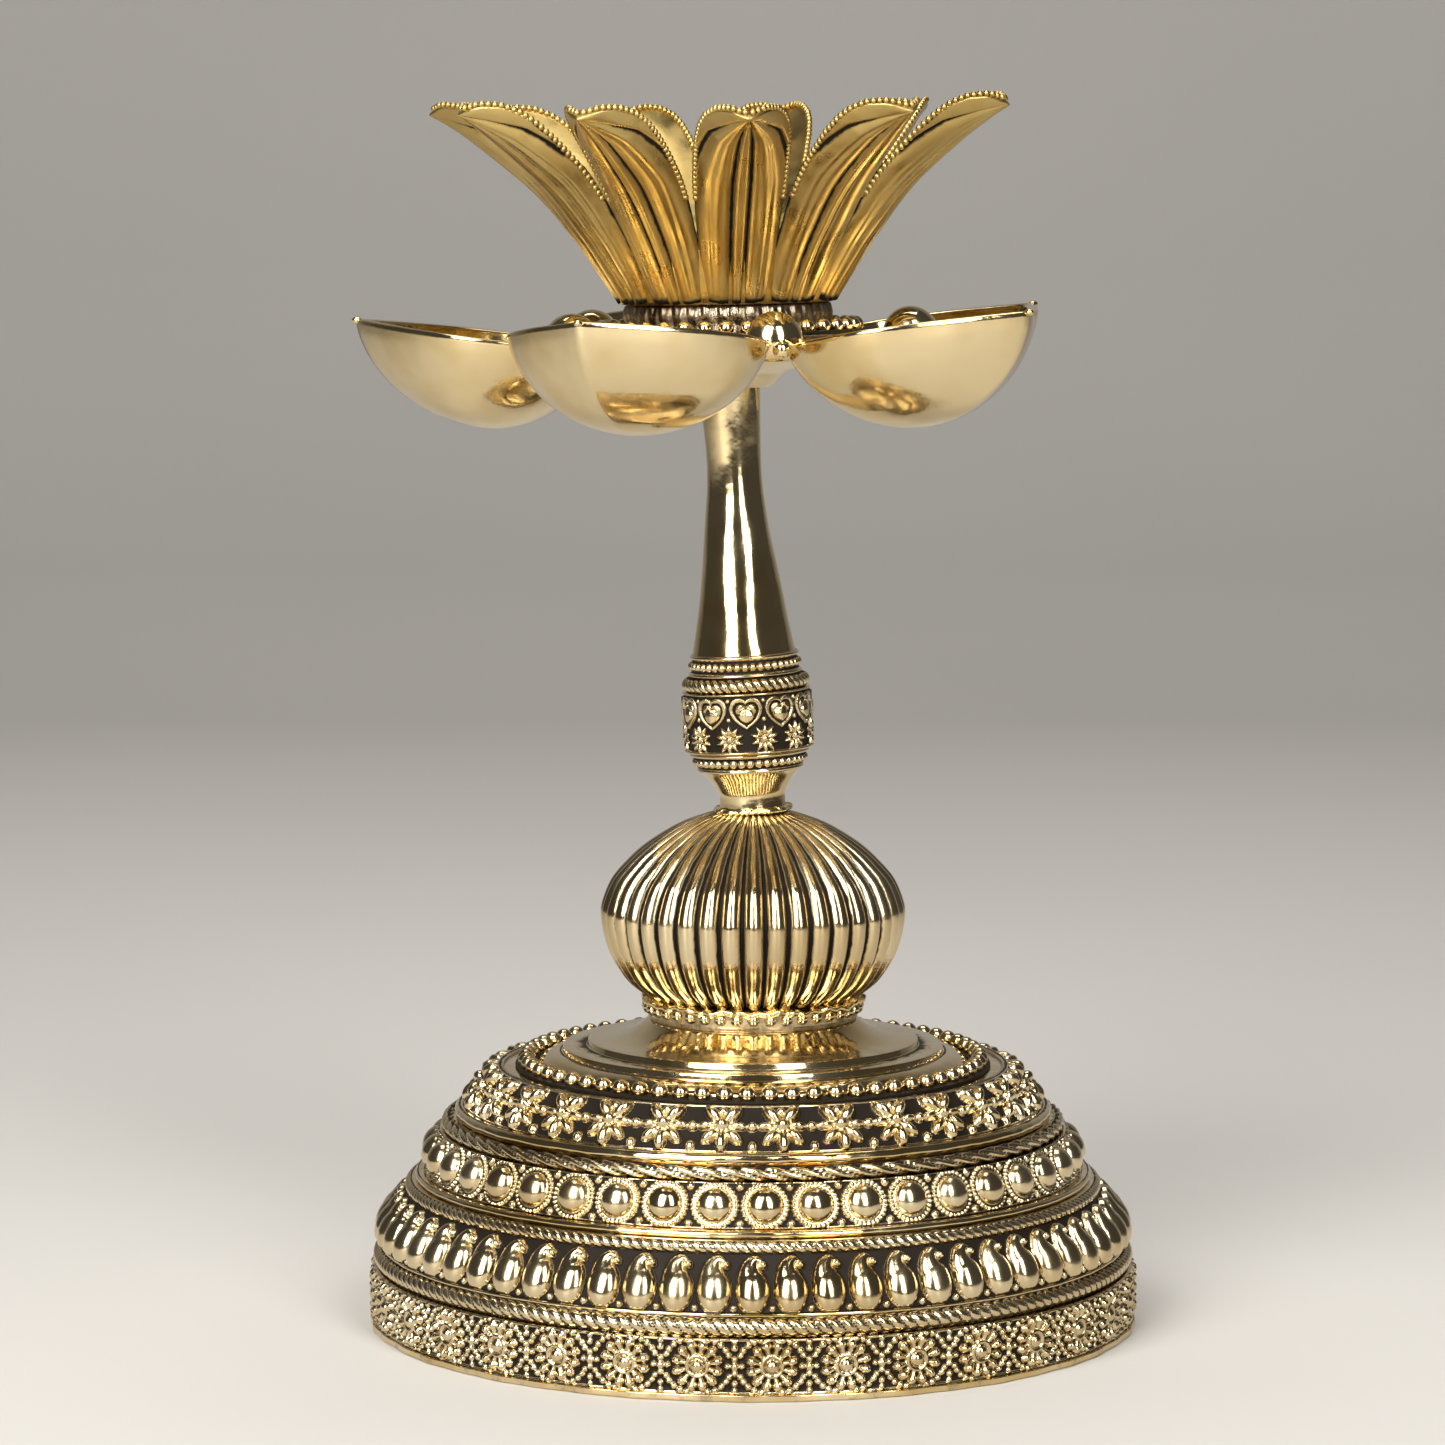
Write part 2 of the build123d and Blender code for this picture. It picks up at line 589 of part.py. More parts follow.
def make_neck_braze():
    with BuildPart() as neck_braze:
        with BuildSketch(LEAN):
            Circle(NECK_BRAZE_RADIUS)
            Circle(SPIGOT_RADIUS, mode=Mode.SUBTRACT)
        extrude(amount=NECK_BRAZE_THICK)
        rims = neck_braze.edges().filter_by(GeomType.CIRCLE).sort_by(SortBy.RADIUS)[-2:]
        fillet(rims, NECK_BRAZE_THICK / 3)
    return neck_braze


def make_knop_bead_ring(level, height, low_radius, high_radius, seat, beads):
    """Ring let into the knop: a bead row between two fine lines."""
    middle = (low_radius + high_radius) / 2
    with BuildPart() as ring:
        with BuildSketch(LEAN_SIDE):
            with BuildLine():
                Polyline(
                    (seat, level),
                    (low_radius, level),
                    (high_radius, level + height),
                    (seat, level + height),
                    close=True,
                )
            make_face()
            with Locations((low_radius, level + KNOP_BEAD_RADIUS)):
                Circle(KNOP_BEAD_RADIUS)
            with Locations((high_radius, level + height - KNOP_BEAD_RADIUS)):
                Circle(KNOP_BEAD_RADIUS)
        revolve(axis=LEAN_AXIS)
    with BuildPart(LEAN) as row:
        with Locations((0, 0, level + height / 2)):
            with PolarLocations(middle, beads):
                Sphere(KNOP_BEAD_RADIUS)
    with BuildPart() as bead_ring:
        add(ring.part)
        add(row.part)
    return bead_ring


def make_knop_rope():
    section = half_round(KNOP_ROPE_SEAT, knop_rope_level, KNOP_ROPE_RADIUS)
    with BuildPart() as knop_rope:
        with BuildSketch(LEAN_SIDE):
            with BuildLine():
                ThreePointArc(*section)
                Line(section[2], section[0])
            make_face()
        revolve(axis=LEAN_AXIS)
    return knop_rope


def make_knop_belt():
    """Belt of hearts over daisies, the daisies half a pitch round."""
    seat = KNOP_BELT_RADIUS - KNOP_TRIM_THICK
    sunk = KNOP_BELT_RADIUS - KNOP_TRIM_THICK / 2
    heart_face = Plane(origin=(sunk, 0, belt_level + HEART_RISE), x_dir=(0, 1, 0), z_dir=(1, 0, 0))
    daisy_face = Plane(origin=(sunk, 0, belt_level + DAISY_RISE), x_dir=(0, 1, 0), z_dir=(1, 0, 0))
    with BuildPart() as heart:
        with BuildSketch(heart_face):
            with Locations((-HEART_SIZE * 0.48, HEART_SIZE * 0.42), (HEART_SIZE * 0.48, HEART_SIZE * 0.42)):
                Circle(HEART_SIZE * 0.56)
            with BuildLine():
                Polyline(
                    (-HEART_SIZE * 0.95, HEART_SIZE * 0.2),
                    (0, -HEART_SIZE * 1.1),
                    (HEART_SIZE * 0.95, HEART_SIZE * 0.2),
                    (0, HEART_SIZE * 0.7),
                    close=True,
                )
            make_face()
        extrude(amount=KNOP_TRIM_THICK / 2 + KNOP_RELIEF)
    with BuildPart() as daisy:
        with BuildSketch(daisy_face):
            with PolarLocations(DAISY_RADIUS * 0.6, DAISY_PETALS):
                Ellipse(DAISY_RADIUS * 0.4, DAISY_RADIUS * 0.16)
            Circle(DAISY_RADIUS * 0.35)
        extrude(amount=KNOP_TRIM_THICK / 2 + KNOP_RELIEF)
    with BuildPart(LEAN) as knop_belt:
        with BuildSketch(LEAN.offset(belt_level)):
            Circle(KNOP_BELT_RADIUS)
            Circle(seat, mode=Mode.SUBTRACT)
        extrude(amount=KNOP_BELT_HEIGHT)
        with PolarLocations(0, HEART_COUNT, start_angle=HEART_ANGLE):
            add(heart.part)
        with PolarLocations(0, HEART_COUNT, start_angle=HEART_ANGLE + 180 / HEART_COUNT):
            add(daisy.part)
    return knop_belt


# ---------------------------------------------------------------- 6. tray: hub, beads, bowls, domes
def make_tray_hub():
    """Hub in the upright tray frame; the leaning copy is the finished piece."""
    with BuildPart() as upright:
        with BuildSketch(Plane.XZ):
            with BuildLine():
                Polyline(
                    (PIVOT_RADIUS + RUN_GAP, hub_z),
                    (HUB_FOOT_RADIUS, hub_z),
                    (HUB_FOOT_RADIUS + 2.0, hub_z + 2.0),
                    (TRAY_RADIUS, tray_top_z - TRAY_EDGE),
                    (TRAY_RADIUS, tray_top_z),
                    (PIVOT_RADIUS + RUN_GAP, tray_top_z),
                    close=True,
                )
            make_face()
        revolve(axis=Axis.Z)
    with BuildPart(TRAY) as tray_hub:
        add(upright.part)
    return upright, tray_hub


def make_tray_bead_ring():
    reach = TRAY_RADIUS - TRAY_BEAD_RADIUS
    with BuildPart(TRAY) as tray_bead_ring:
        with BuildSketch(TRAY.offset(tray_top_z)):
            Circle(TRAY_RADIUS)
            Circle(TRAY_RADIUS - 2 * TRAY_BEAD_RADIUS, mode=Mode.SUBTRACT)
        extrude(amount=TRAY_BEAD_SEAT)
        with Locations((0, 0, tray_top_z + TRAY_BEAD_RADIUS)):
            with PolarLocations(reach, TRAY_BEAD_COUNT):
                Sphere(TRAY_BEAD_RADIUS)
    return tray_bead_ring


def bowl_loft(shrink, rim_over):
    """Leaf-shaped bowl body on the +X side of the tray frame, from its rim down to a small flat."""
    with BuildPart() as body:
        steps = ((0.0, 1.0), (0.18, 0.95), (0.42, 0.84), (0.66, 0.66), (0.86, 0.42), (1.0, 0.16))
        for drop, scale in steps:
            half_w = (BOWL_WIDTH / 2 - shrink) * scale
            back = (BOWL_LENGTH / 2 - shrink) * scale
            front = (BOWL_LENGTH / 2 - 1.6 * shrink) * scale
            middle = BOWL_TIP_RADIUS - TRAY_RADIUS - BOWL_LENGTH / 2 - 2.0 * (1 - scale)
            level = rim_over - drop * (BOWL_DEPTH - shrink + rim_over)
            with BuildSketch(RIM.offset(level)):
                with BuildLine():
                    Spline(
                        (middle + front, 0),
                        (middle + 0.62 * front, 0.58 * half_w),
                        (middle, half_w),
                        (middle - 0.78 * back, 0.76 * half_w),
                        (middle - back, 0),
                        tangents=((-0.8, 1.0), (0, -1)),
                    )
                    Spline(
                        (middle - back, 0),
                        (middle - 0.78 * back, -0.76 * half_w),
                        (middle, -half_w),
                        (middle + 0.62 * front, -0.58 * half_w),
                        (middle + front, 0),
                        tangents=((0, -1), (0.8, 1.0)),
                    )
                make_face()
        loft()
    return body


def make_bowls(hub):
    """Bowls whose inner ends stop on the tray's edge and on the hub's cone."""
    outer = bowl_loft(0, 0)
    inner = bowl_loft(BOWL_WALL, 0.2)
    with BuildPart() as bowl:
        add(outer.part)
        add(inner.part, mode=Mode.SUBTRACT)
        add(hub.part, mode=Mode.SUBTRACT)
        with BuildSketch(Plane.XY.offset(tray_top_z - TRAY_EDGE)):
            Circle(TRAY_RADIUS)
        extrude(amount=2 * TRAY_EDGE, mode=Mode.SUBTRACT)
    pieces = []
    for index in range(BOWL_COUNT):
        angle = BOWL_ANGLE + index * 360 / BOWL_COUNT
        with BuildPart(TRAY) as piece:
            with PolarLocations(0, 1, start_angle=angle):
                add(bowl.part)
        pieces.append(piece)
    return outer, pieces


def make_domes(bowl_outer, hub):
    """Dome that closes the notch between two bowls, with a ball at its outer foot."""
    with BuildPart() as dome:
        with Locations((DOME_REACH, 0, dome_z)):
            Sphere(DOME_RADIUS)
        with Locations((DOME_REACH + DOME_RADIUS, 0, dome_z - DOME_BALL_RADIUS)):
            Sphere(DOME_BALL_RADIUS)
        split(bisect_by=Plane.XY.offset(dome_z - DOME_HEIGHT), keep=Keep.TOP)
        with PolarLocations(0, 2, start_angle=-180 / BOWL_COUNT, angular_range=720 / BOWL_COUNT):
            add(bowl_outer.part, mode=Mode.SUBTRACT)
        add(hub.part, mode=Mode.SUBTRACT)
        with Locations((0, 0, dome_z)):
            Cylinder(TRAY_RADIUS + RUN_GAP, 4 * DOME_RADIUS, mode=Mode.SUBTRACT)
    pieces = []
    for index in range(BOWL_COUNT):
        angle = BOWL_ANGLE + (index + 0.5) * 360 / BOWL_COUNT
        with BuildPart(TRAY) as piece:
            with PolarLocations(0, 1, start_angle=angle):
                add(dome.part)
        pieces.append(piece)
    return pieces


# ---------------------------------------------------------------- 7. lotus finial
def make_lotus_washer():
    with BuildPart() as lotus_washer:
        with BuildSketch(TRAY.offset(washer_z)):
            Circle(WASHER_RADIUS)
            Circle(STUD_RADIUS + RUN_GAP, mode=Mode.SUBTRACT)
        extrude(amount=WASHER_THICK)
    return lotus_washer


def make_lotus_stud():
    with BuildPart() as lotus_stud:
        with BuildSketch(TRAY.offset(stud_bottom_z)):
            Circle(STUD_RADIUS)
        extrude(amount=STUD_REACH + LOTUS_FLOOR)
    return lotus_stud


def lotus_side(shrink):
    """Meridian of the lotus from its base to the petal tips, moved in by shrink."""
    rise = LOTUS_HEIGHT - LOTUS_CUP_HEIGHT
    spread = LOTUS_TIP_RADIUS - LOTUS_CUP_RADIUS
    cup_z = lotus_z + LOTUS_CUP_HEIGHT
    return [
        (LOTUS_CUP_RADIUS - shrink, cup_z),
        (LOTUS_CUP_RADIUS + 0.25 * spread - shrink, cup_z + 0.33 * rise),
        (LOTUS_CUP_RADIUS + 0.56 * spread - shrink, cup_z + 0.63 * rise),
        (LOTUS_TIP_RADIUS - shrink, cup_z + rise),
    ]


def make_lotus_cup():
    cup_z = lotus_z + LOTUS_CUP_HEIGHT
    floor_z = lotus_z + LOTUS_FLOOR
    with BuildPart() as lotus_cup:
        with BuildSketch(TRAY_SIDE):
            with BuildLine():
                Polyline(
                    (0, lotus_z),
                    (LOTUS_BASE_RADIUS, lotus_z),
                    (LOTUS_CUP_RADIUS, cup_z),
                    (LOTUS_CUP_RADIUS - LOTUS_WALL, cup_z),
                    (LOTUS_BASE_RADIUS - LOTUS_WALL, floor_z),
                    (LOTUS_BOSS_RADIUS, floor_z),
                    (LOTUS_BOSS_RADIUS, floor_z + LOTUS_BOSS_RISE),
                    (0, floor_z + LOTUS_BOSS_RISE),
                    close=True,
                )
            make_face()
        revolve(axis=TRAY_AXIS)
        with BuildSketch(TRAY.offset(lotus_z)):
            Circle(STUD_RADIUS)
        extrude(amount=LOTUS_FLOOR, mode=Mode.SUBTRACT)
    return lotus_cup


def make_petals():
    """One pointed petal cut from the flared wall, then repeated round the lotus."""
    outer = lotus_side(0)
    inner = lotus_side(LOTUS_WALL)
    cup_z = outer[0][1]
    tip_z = outer[-1][1]
    half = LOTUS_TIP_RADIUS * sin(radians(PETAL_SPREAD / 2))
    shoulder = tip_z - 0.42 * (tip_z - cup_z)
    with BuildPart() as outline:
        with BuildSketch(Plane(origin=(LOTUS_BASE_RADIUS / 2, 0, 0), x_dir=(0, 1, 0), z_dir=(1, 0, 0))):
            with BuildLine():
                Polyline(
                    (0, tip_z),
                    (-half, shoulder),
                    (-half, cup_z - 1),
                    (half, cup_z - 1),
                    (half, shoulder),
                    close=True,
                )
            make_face()
        extrude(amount=LOTUS_TIP_RADIUS)
    with BuildPart() as petal:
        with BuildSketch(Plane.XZ):
            with BuildLine():
                Spline(*outer)
                Line(outer[-1], inner[-1])
                Spline(*reversed(inner))
                Line(inner[0], outer[0])
            make_face()
        revolve(axis=Axis.Z, revolution_arc=PETAL_SPREAD)
    with BuildPart() as trimmed:
        with PolarLocations(0, 1, start_angle=-PETAL_SPREAD / 2):
            add(petal.part)
        add(outline.part, mode=Mode.INTERSECT)
    pieces = []
    for index in range(PETAL_COUNT):
        angle = PETAL_ANGLE + index * 360 / PETAL_COUNT
        with BuildPart(TRAY) as piece:
            with PolarLocations(0, 1, start_angle=angle):
                add(trimmed.part)
        pieces.append(piece)
    return pieces


# ---------------------------------------------------------------- build, name and write every piece
base_shell = make_base_shell()
rosette_band = make_rosette_band()
foot_rope = make_ring(FOOT_ROPE_INSET, foot_rope_z, FOOT_ROPE_RADIUS)
lower_ledge_ring = make_ring(LOWER_LEDGE_INSET, lower_ledge_z, LOWER_LEDGE_RADIUS)
paisley_band = make_paisley_band()
middle_rope = make_ring(MIDDLE_ROPE_INSET, middle_rope_z, MIDDLE_ROPE_RADIUS)
middle_ledge_ring = make_ring(MIDDLE_LEDGE_INSET, middle_ledge_z, MIDDLE_LEDGE_RADIUS)
boss_band = make_boss_band()
upper_twist = make_ring(TWIST_INSET, twist_z, TWIST_RADIUS)
upper_ledge_ring = make_ring(UPPER_LEDGE_INSET, upper_ledge_z, UPPER_LEDGE_RADIUS)
star_flower_band = make_star_flower_band()
shoulder_bead_ring = make_shoulder_bead_ring()
bulb_foot_collar = make_bulb_foot_collar()
fluted_bulb = make_fluted_bulb()
bulb_foot_braze = make_bulb_foot_braze()
stem = make_stem()
neck_braze = make_neck_braze()
knop_lower_bead_ring = make_knop_bead_ring(
    lower_ring_level,
    KNOP_LOWER_RING_HEIGHT,
    KNOP_TAPER_RADIUS,
    KNOP_LOWER_RING_RADIUS,
    KNOP_TAPER_RADIUS - KNOP_TRIM_THICK,
    KNOP_LOWER_BEADS,
)
knop_belt = make_knop_belt()
knop_rope = make_knop_rope()
knop_upper_bead_ring = make_knop_bead_ring(
    upper_ring_level,
    KNOP_UPPER_RING_HEIGHT,
    KNOP_UPPER_RING_RADIUS,
    KNOP_TOP_RADIUS,
    KNOP_TOP_RADIUS - KNOP_TRIM_THICK,
    KNOP_UPPER_BEADS,
)
upright_hub, tray_hub = make_tray_hub()
tray_bead_ring = make_tray_bead_ring()
bowl_body, bowls = make_bowls(upright_hub)
domes = make_domes(bowl_body, upright_hub)
lotus_washer = make_lotus_washer()
lotus_stud = make_lotus_stud()
lotus_cup = make_lotus_cup()
petals = make_petals()

named = {
    "base_shell": base_shell,
    "rosette_band": rosette_band,
    "foot_rope": foot_rope,
    "lower_ledge_ring": lower_ledge_ring,
    "paisley_band": paisley_band,
    "middle_rope": middle_rope,
    "middle_ledge_ring": middle_ledge_ring,
    "boss_band": boss_band,
    "upper_twist": upper_twist,
    "upper_ledge_ring": upper_ledge_ring,
    "star_flower_band": star_flower_band,
    "shoulder_bead_ring": shoulder_bead_ring,
    "bulb_foot_collar": bulb_foot_collar,
    "bulb_foot_braze": bulb_foot_braze,
    "fluted_bulb": fluted_bulb,
    "neck_braze": neck_braze,
    "stem": stem,
    "knop_upper_bead_ring": knop_upper_bead_ring,
    "knop_lower_bead_ring": knop_lower_bead_ring,
    "knop_rope": knop_rope,
    "knop_belt": knop_belt,
    "tray_hub": tray_hub,
    "tray_bead_ring": tray_bead_ring,
    "lotus_washer": lotus_washer,
    "lotus_stud": lotus_stud,
    "lotus_cup": lotus_cup,
}
for number, piece in enumerate(bowls, 1):
    named[f"oil_bowl_{number}"] = piece
for number, piece in enumerate(domes, 1):
    named[f"dome_boss_{number}"] = piece
for number, piece in enumerate(petals, 1):
    named[f"lotus_petal_{number}"] = piece

for name, piece in named.items():
    piece.part.label = name
    export_step(piece.part, f"parts/{name}.step")
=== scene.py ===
"""Looks of the standing brass oil lamp: every CAD node gets its detailed, cast and chased surface."""
import json
import math

import bpy
import numpy as np
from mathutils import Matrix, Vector


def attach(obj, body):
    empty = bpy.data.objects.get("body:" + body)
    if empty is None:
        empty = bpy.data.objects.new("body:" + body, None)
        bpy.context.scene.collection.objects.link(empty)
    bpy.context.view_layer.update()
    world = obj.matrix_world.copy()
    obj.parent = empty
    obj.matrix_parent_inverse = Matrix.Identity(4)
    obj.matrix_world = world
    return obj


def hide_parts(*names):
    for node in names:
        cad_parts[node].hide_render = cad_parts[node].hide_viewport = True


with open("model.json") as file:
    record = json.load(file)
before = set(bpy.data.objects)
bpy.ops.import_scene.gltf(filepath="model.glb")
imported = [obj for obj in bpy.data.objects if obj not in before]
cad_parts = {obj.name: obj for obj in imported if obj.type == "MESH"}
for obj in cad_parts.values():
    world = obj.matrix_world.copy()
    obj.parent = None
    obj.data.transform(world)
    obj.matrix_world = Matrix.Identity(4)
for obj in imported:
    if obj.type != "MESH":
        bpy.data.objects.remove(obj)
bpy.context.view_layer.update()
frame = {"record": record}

MM = 0.001
TAU = 2 * math.pi

# ------------------------------------------------------------------ frames of the lamp, in mm
NECK_Z = 75.6
STEM_LEAN = math.radians(3.2)
TRAY_LEAN = math.radians(1.1)
STEM_LENGTH = 62.5


def leaning(angle, origin):
    """Matrix rows (right, forward, up) and origin of a frame that leans towards -X."""
    right = (math.cos(angle), 0, math.sin(angle))
    up = (-math.sin(angle), 0, math.cos(angle))
    return np.array([right, (0, 1, 0), up]), np.array(origin, float)


UPRIGHT = leaning(0, (0, 0, 0))
LEAN = leaning(STEM_LEAN, (0, 0, NECK_Z))
TRAY = leaning(
    TRAY_LEAN,
    (-STEM_LENGTH * math.sin(STEM_LEAN), 0, NECK_Z + STEM_LENGTH * math.cos(STEM_LEAN)),
)


def place(points, where):
    """Points of a frame, in the lamp's own frame."""
    return points @ where[0] + where[1]


# ------------------------------------------------------------------ materials
def new_material(name):
    """Material with one Principled shader: (material, nodes, links, shader)."""
    mat = bpy.data.materials.new(name)
    mat.use_nodes = True
    nodes = mat.node_tree.nodes
    nodes.clear()
    out = nodes.new("ShaderNodeOutputMaterial")
    shader = nodes.new("ShaderNodeBsdfPrincipled")
    mat.node_tree.links.new(shader.outputs["BSDF"], out.inputs["Surface"])
    return mat, nodes, mat.node_tree.links, shader


def noise(nodes, links, coords, scale, detail=4, rough=0.55):
    """Noise in object coordinates."""
    tex = nodes.new("ShaderNodeTexNoise")
    tex.inputs["Scale"].default_value = scale
    tex.inputs["Detail"].default_value = detail
    tex.inputs["Roughness"].default_value = rough
    links.new(coords.outputs["Object"], tex.inputs["Vector"])
    return tex.outputs["Fac"]


def ramp(nodes, links, source, low, high, to_low=0.0, to_high=1.0):
    """Smooth step of a value from low to high, scaled to run from to_low to to_high."""
    node = nodes.new("ShaderNodeMapRange")
    node.interpolation_type = "SMOOTHSTEP"
    node.inputs["From Min"].default_value = low
    node.inputs["From Max"].default_value = high
    node.inputs["To Min"].default_value = to_low
    node.inputs["To Max"].default_value = to_high
    links.new(source, node.inputs["Value"])
    return node.outputs["Result"]


def math_node(nodes, links, operation, a, b):
    """Clamped result of an operation on two numbers or sockets."""
    node = nodes.new("ShaderNodeMath")
    node.operation = operation
    node.use_clamp = True
    for index, value in enumerate((a, b)):
        if isinstance(value, (int, float)):
            node.inputs[index].default_value = value
        else:
            links.new(value, node.inputs[index])
    return node.outputs[0]


def mix_colour(nodes, links, factor, a, b):
    """Colour a where the factor is 0 and colour b where it is 1; each is a colour or a socket."""
    node = nodes.new("ShaderNodeMix")
    node.data_type = "RGBA"
    links.new(factor, node.inputs["Factor"])
    for socket, value in ((node.inputs[6], a), (node.inputs[7], b)):
        if isinstance(value, tuple):
            socket.default_value = (*value, 1)
        else:
            links.new(value, socket)
    return node.outputs[2]


# Dark colour of stains, of patina and of painted shade in recesses and under beads.
PATINA_AND_SHADE_COLOUR = (0.014, 0.010, 0.006)


def brass(name, bright, warm, rough, stain, cast=0.0, pit=0.06):
    """Cast brass: warm and pale patches, patina and painted shade in recesses from a vertex attribute,
    stains, pits and casting grain.
    """
    mat, nodes, links, shader = new_material(name)
    coords = nodes.new("ShaderNodeTexCoord")
    patina_and_shade = nodes.new("ShaderNodeAttribute")
    patina_and_shade.attribute_name = "patina_and_shade"
    patches = ramp(nodes, links, noise(nodes, links, coords, 55, 3), 0.40, 0.66)
    metal = mix_colour(nodes, links, patches, bright, warm)
    grime_and_shade = noise(nodes, links, coords, 420, 5, 0.62)
    specks = ramp(nodes, links, noise(nodes, links, coords, 1500, 3), 0.66 - 0.10 * stain, 0.80)
    # Painted shade and patina in recesses: the vertex attribute, broken up by blotches, mixes in the dark
    # colour; stains add dark specks.
    blotches = ramp(nodes, links, grime_and_shade, 0.35, 0.75, -0.12, 0.16)
    recess = math_node(nodes, links, "ADD", patina_and_shade.outputs["Fac"], blotches)
    recess = ramp(nodes, links, recess, 0.30, 0.72)
    dark = math_node(nodes, links, "MAXIMUM", recess, math_node(nodes, links, "MULTIPLY", specks, stain))
    links.new(mix_colour(nodes, links, dark, metal, PATINA_AND_SHADE_COLOUR), shader.inputs["Base Color"])
    links.new(ramp(nodes, links, dark, 0.0, 1.0, 1.0, 0.35), shader.inputs["Metallic"])
    shader.inputs["Specular IOR Level"].default_value = 0.2
    worn = ramp(nodes, links, noise(nodes, links, coords, 160, 4), 0.3, 0.75, rough * 0.7, rough * 1.5)
    wear = math_node(nodes, links, "ADD", worn, math_node(nodes, links, "MULTIPLY", dark, 0.42))
    links.new(wear, shader.inputs["Roughness"])
    grain = noise(nodes, links, coords, 2300, 3, 0.6)
    swell = noise(nodes, links, coords, 240, 3, 0.5)
    fine = nodes.new("ShaderNodeBump")
    fine.inputs["Strength"].default_value = min(1.0, pit + cast)
    fine.inputs["Distance"].default_value = 0.00012
    links.new(grain, fine.inputs["Height"])
    broad = nodes.new("ShaderNodeBump")
    broad.inputs["Strength"].default_value = 0.16 + 0.25 * cast
    broad.inputs["Distance"].default_value = 0.0006
    links.new(swell, broad.inputs["Height"])
    links.new(fine.outputs["Normal"], broad.inputs["Normal"])
    links.new(broad.outputs["Normal"], shader.inputs["Normal"])
    return mat


# each alloy as (bright patches, warm patches)
POLISHED = ((0.74, 0.60, 0.35), (0.62, 0.46, 0.20))
ANTIQUED = ((0.68, 0.56, 0.35), (0.56, 0.43, 0.23))
GOLDEN = ((0.54, 0.40, 0.15), (0.43, 0.30, 0.10))
DARK = ((0.26, 0.21, 0.15), (0.14, 0.10, 0.06))
BRAZE = ((0.82, 0.66, 0.34), (0.74, 0.55, 0.22))

MATERIALS = {
    "polished_brass": brass("polished_brass", *POLISHED, 0.11, stain=0.08, pit=0.04),
    "antiqued_brass": brass("antiqued_brass", *ANTIQUED, 0.17, stain=0.18, cast=0.04),
    "golden_cast_brass": brass("golden_cast_brass", *GOLDEN, 0.34, stain=0.0, cast=0.05),
    "dark_patina_brass": brass("dark_patina_brass", *DARK, 0.30, stain=0.8, cast=0.5),
    "braze_metal": brass("braze_metal", *BRAZE, 0.20, stain=0.15, cast=0.4),
}
BODY_OF = {}
for body_name, members in frame["record"]["behaviour"]["bodies"].items():
    for member in members:
        BODY_OF[member] = body_name
SLOT_OF = {row["node"]: row["material_slot"] for row in frame["record"]["subparts"]}


# ------------------------------------------------------------------ mesh helpers
def build(node, verts, faces, patina_and_shade=None, where=UPRIGHT, sharp=None):
    """Makes the piece that stands for a CAD node, from points in mm in one of the lamp's frames."""
    mesh = bpy.data.meshes.new(node + "_looks")
    points = place(np.asarray(verts, float), where) * MM
    mesh.from_pydata(points.tolist(), [], [tuple(face) for face in faces])
    mesh.update()
    mesh.polygons.foreach_set("use_smooth", np.ones(len(mesh.polygons), bool))
    # Vertex attribute, 0 to 1, of patina and painted shade that darkens the brass in recesses, under beads
    # and at joins.
    layer = mesh.attributes.new("patina_and_shade", "FLOAT", "POINT")
    values = np.zeros(len(verts)) if patina_and_shade is None else np.asarray(patina_and_shade, float)
    layer.data.foreach_set("value", np.clip(values, 0, 1).astype(np.float32))
    if sharp is not None:
        mesh.set_sharp_from_angle(angle=math.radians(sharp))
    piece = bpy.data.objects.new(node + "_looks", mesh)
    bpy.context.scene.collection.objects.link(piece)
    mesh.materials.append(MATERIALS[SLOT_OF[node]])
    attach(piece, BODY_OF[node])
    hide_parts(node)


def grid_faces(rows, cols, wrap_rows=False, wrap_cols=True):
    """Quads of a grid stored row by row; they face out when columns turn anticlockwise and rows go up."""
    r = np.arange(rows if wrap_rows else rows - 1)
    c = np.arange(cols if wrap_cols else cols - 1)
    r, c = np.meshgrid(r, c, indexing="ij")
    r1, c1 = (r + 1) % rows, (c + 1) % cols
    quads = np.stack([r * cols + c, r * cols + c1, r1 * cols + c1, r1 * cols + c], axis=-1)
    return quads.reshape(-1, 4)


def join(parts):
    """Several (verts, faces, patina and painted shade) as one; None for the last counts as 0."""
    verts, faces, patina_and_shade_values, start = [], [], [], 0
    for v, f, a in parts:
        verts.append(v)
        faces.extend((np.asarray(f) + start).tolist())
        patina_and_shade_values.append(np.zeros(len(v)) if a is None else np.broadcast_to(a, (len(v),)))
        start += len(v)
    return np.concatenate(verts), faces, np.concatenate(patina_and_shade_values)


def spheres(centres, radius, across=16, down=10, squash=None, underside_patina_and_shade=0.0):
    """One (verts, faces, patina and painted shade) per centre; squash scales each axis, and the underside
    gets painted shade and patina of the given strength.
    """
    theta = np.linspace(0, math.pi, down + 1)
    phi = np.linspace(0, TAU, across, endpoint=False)
    t, p = np.meshgrid(theta, phi, indexing="ij")
    unit = np.stack([np.sin(t) * np.cos(p), np.sin(t) * np.sin(p), -np.cos(t)], axis=-1).reshape(-1, 3)
    if squash is not None:
        unit = unit * np.asarray(squash)
    quads = grid_faces(down + 1, across)
    # Painted shade and patina on the underside of each ball.
    low = underside_patina_and_shade * (unit[:, 2] < -0.55)
    return [(unit * radius + np.asarray(c), quads, low) for c in centres]


def circle_points(radius, height, count, start_degrees):
    """Evenly spaced points on a level circle."""
    angles = np.radians(start_degrees) + np.arange(count) * TAU / count
    return np.stack([radius * np.cos(angles), radius * np.sin(angles), np.full(count, height)], axis=-1)


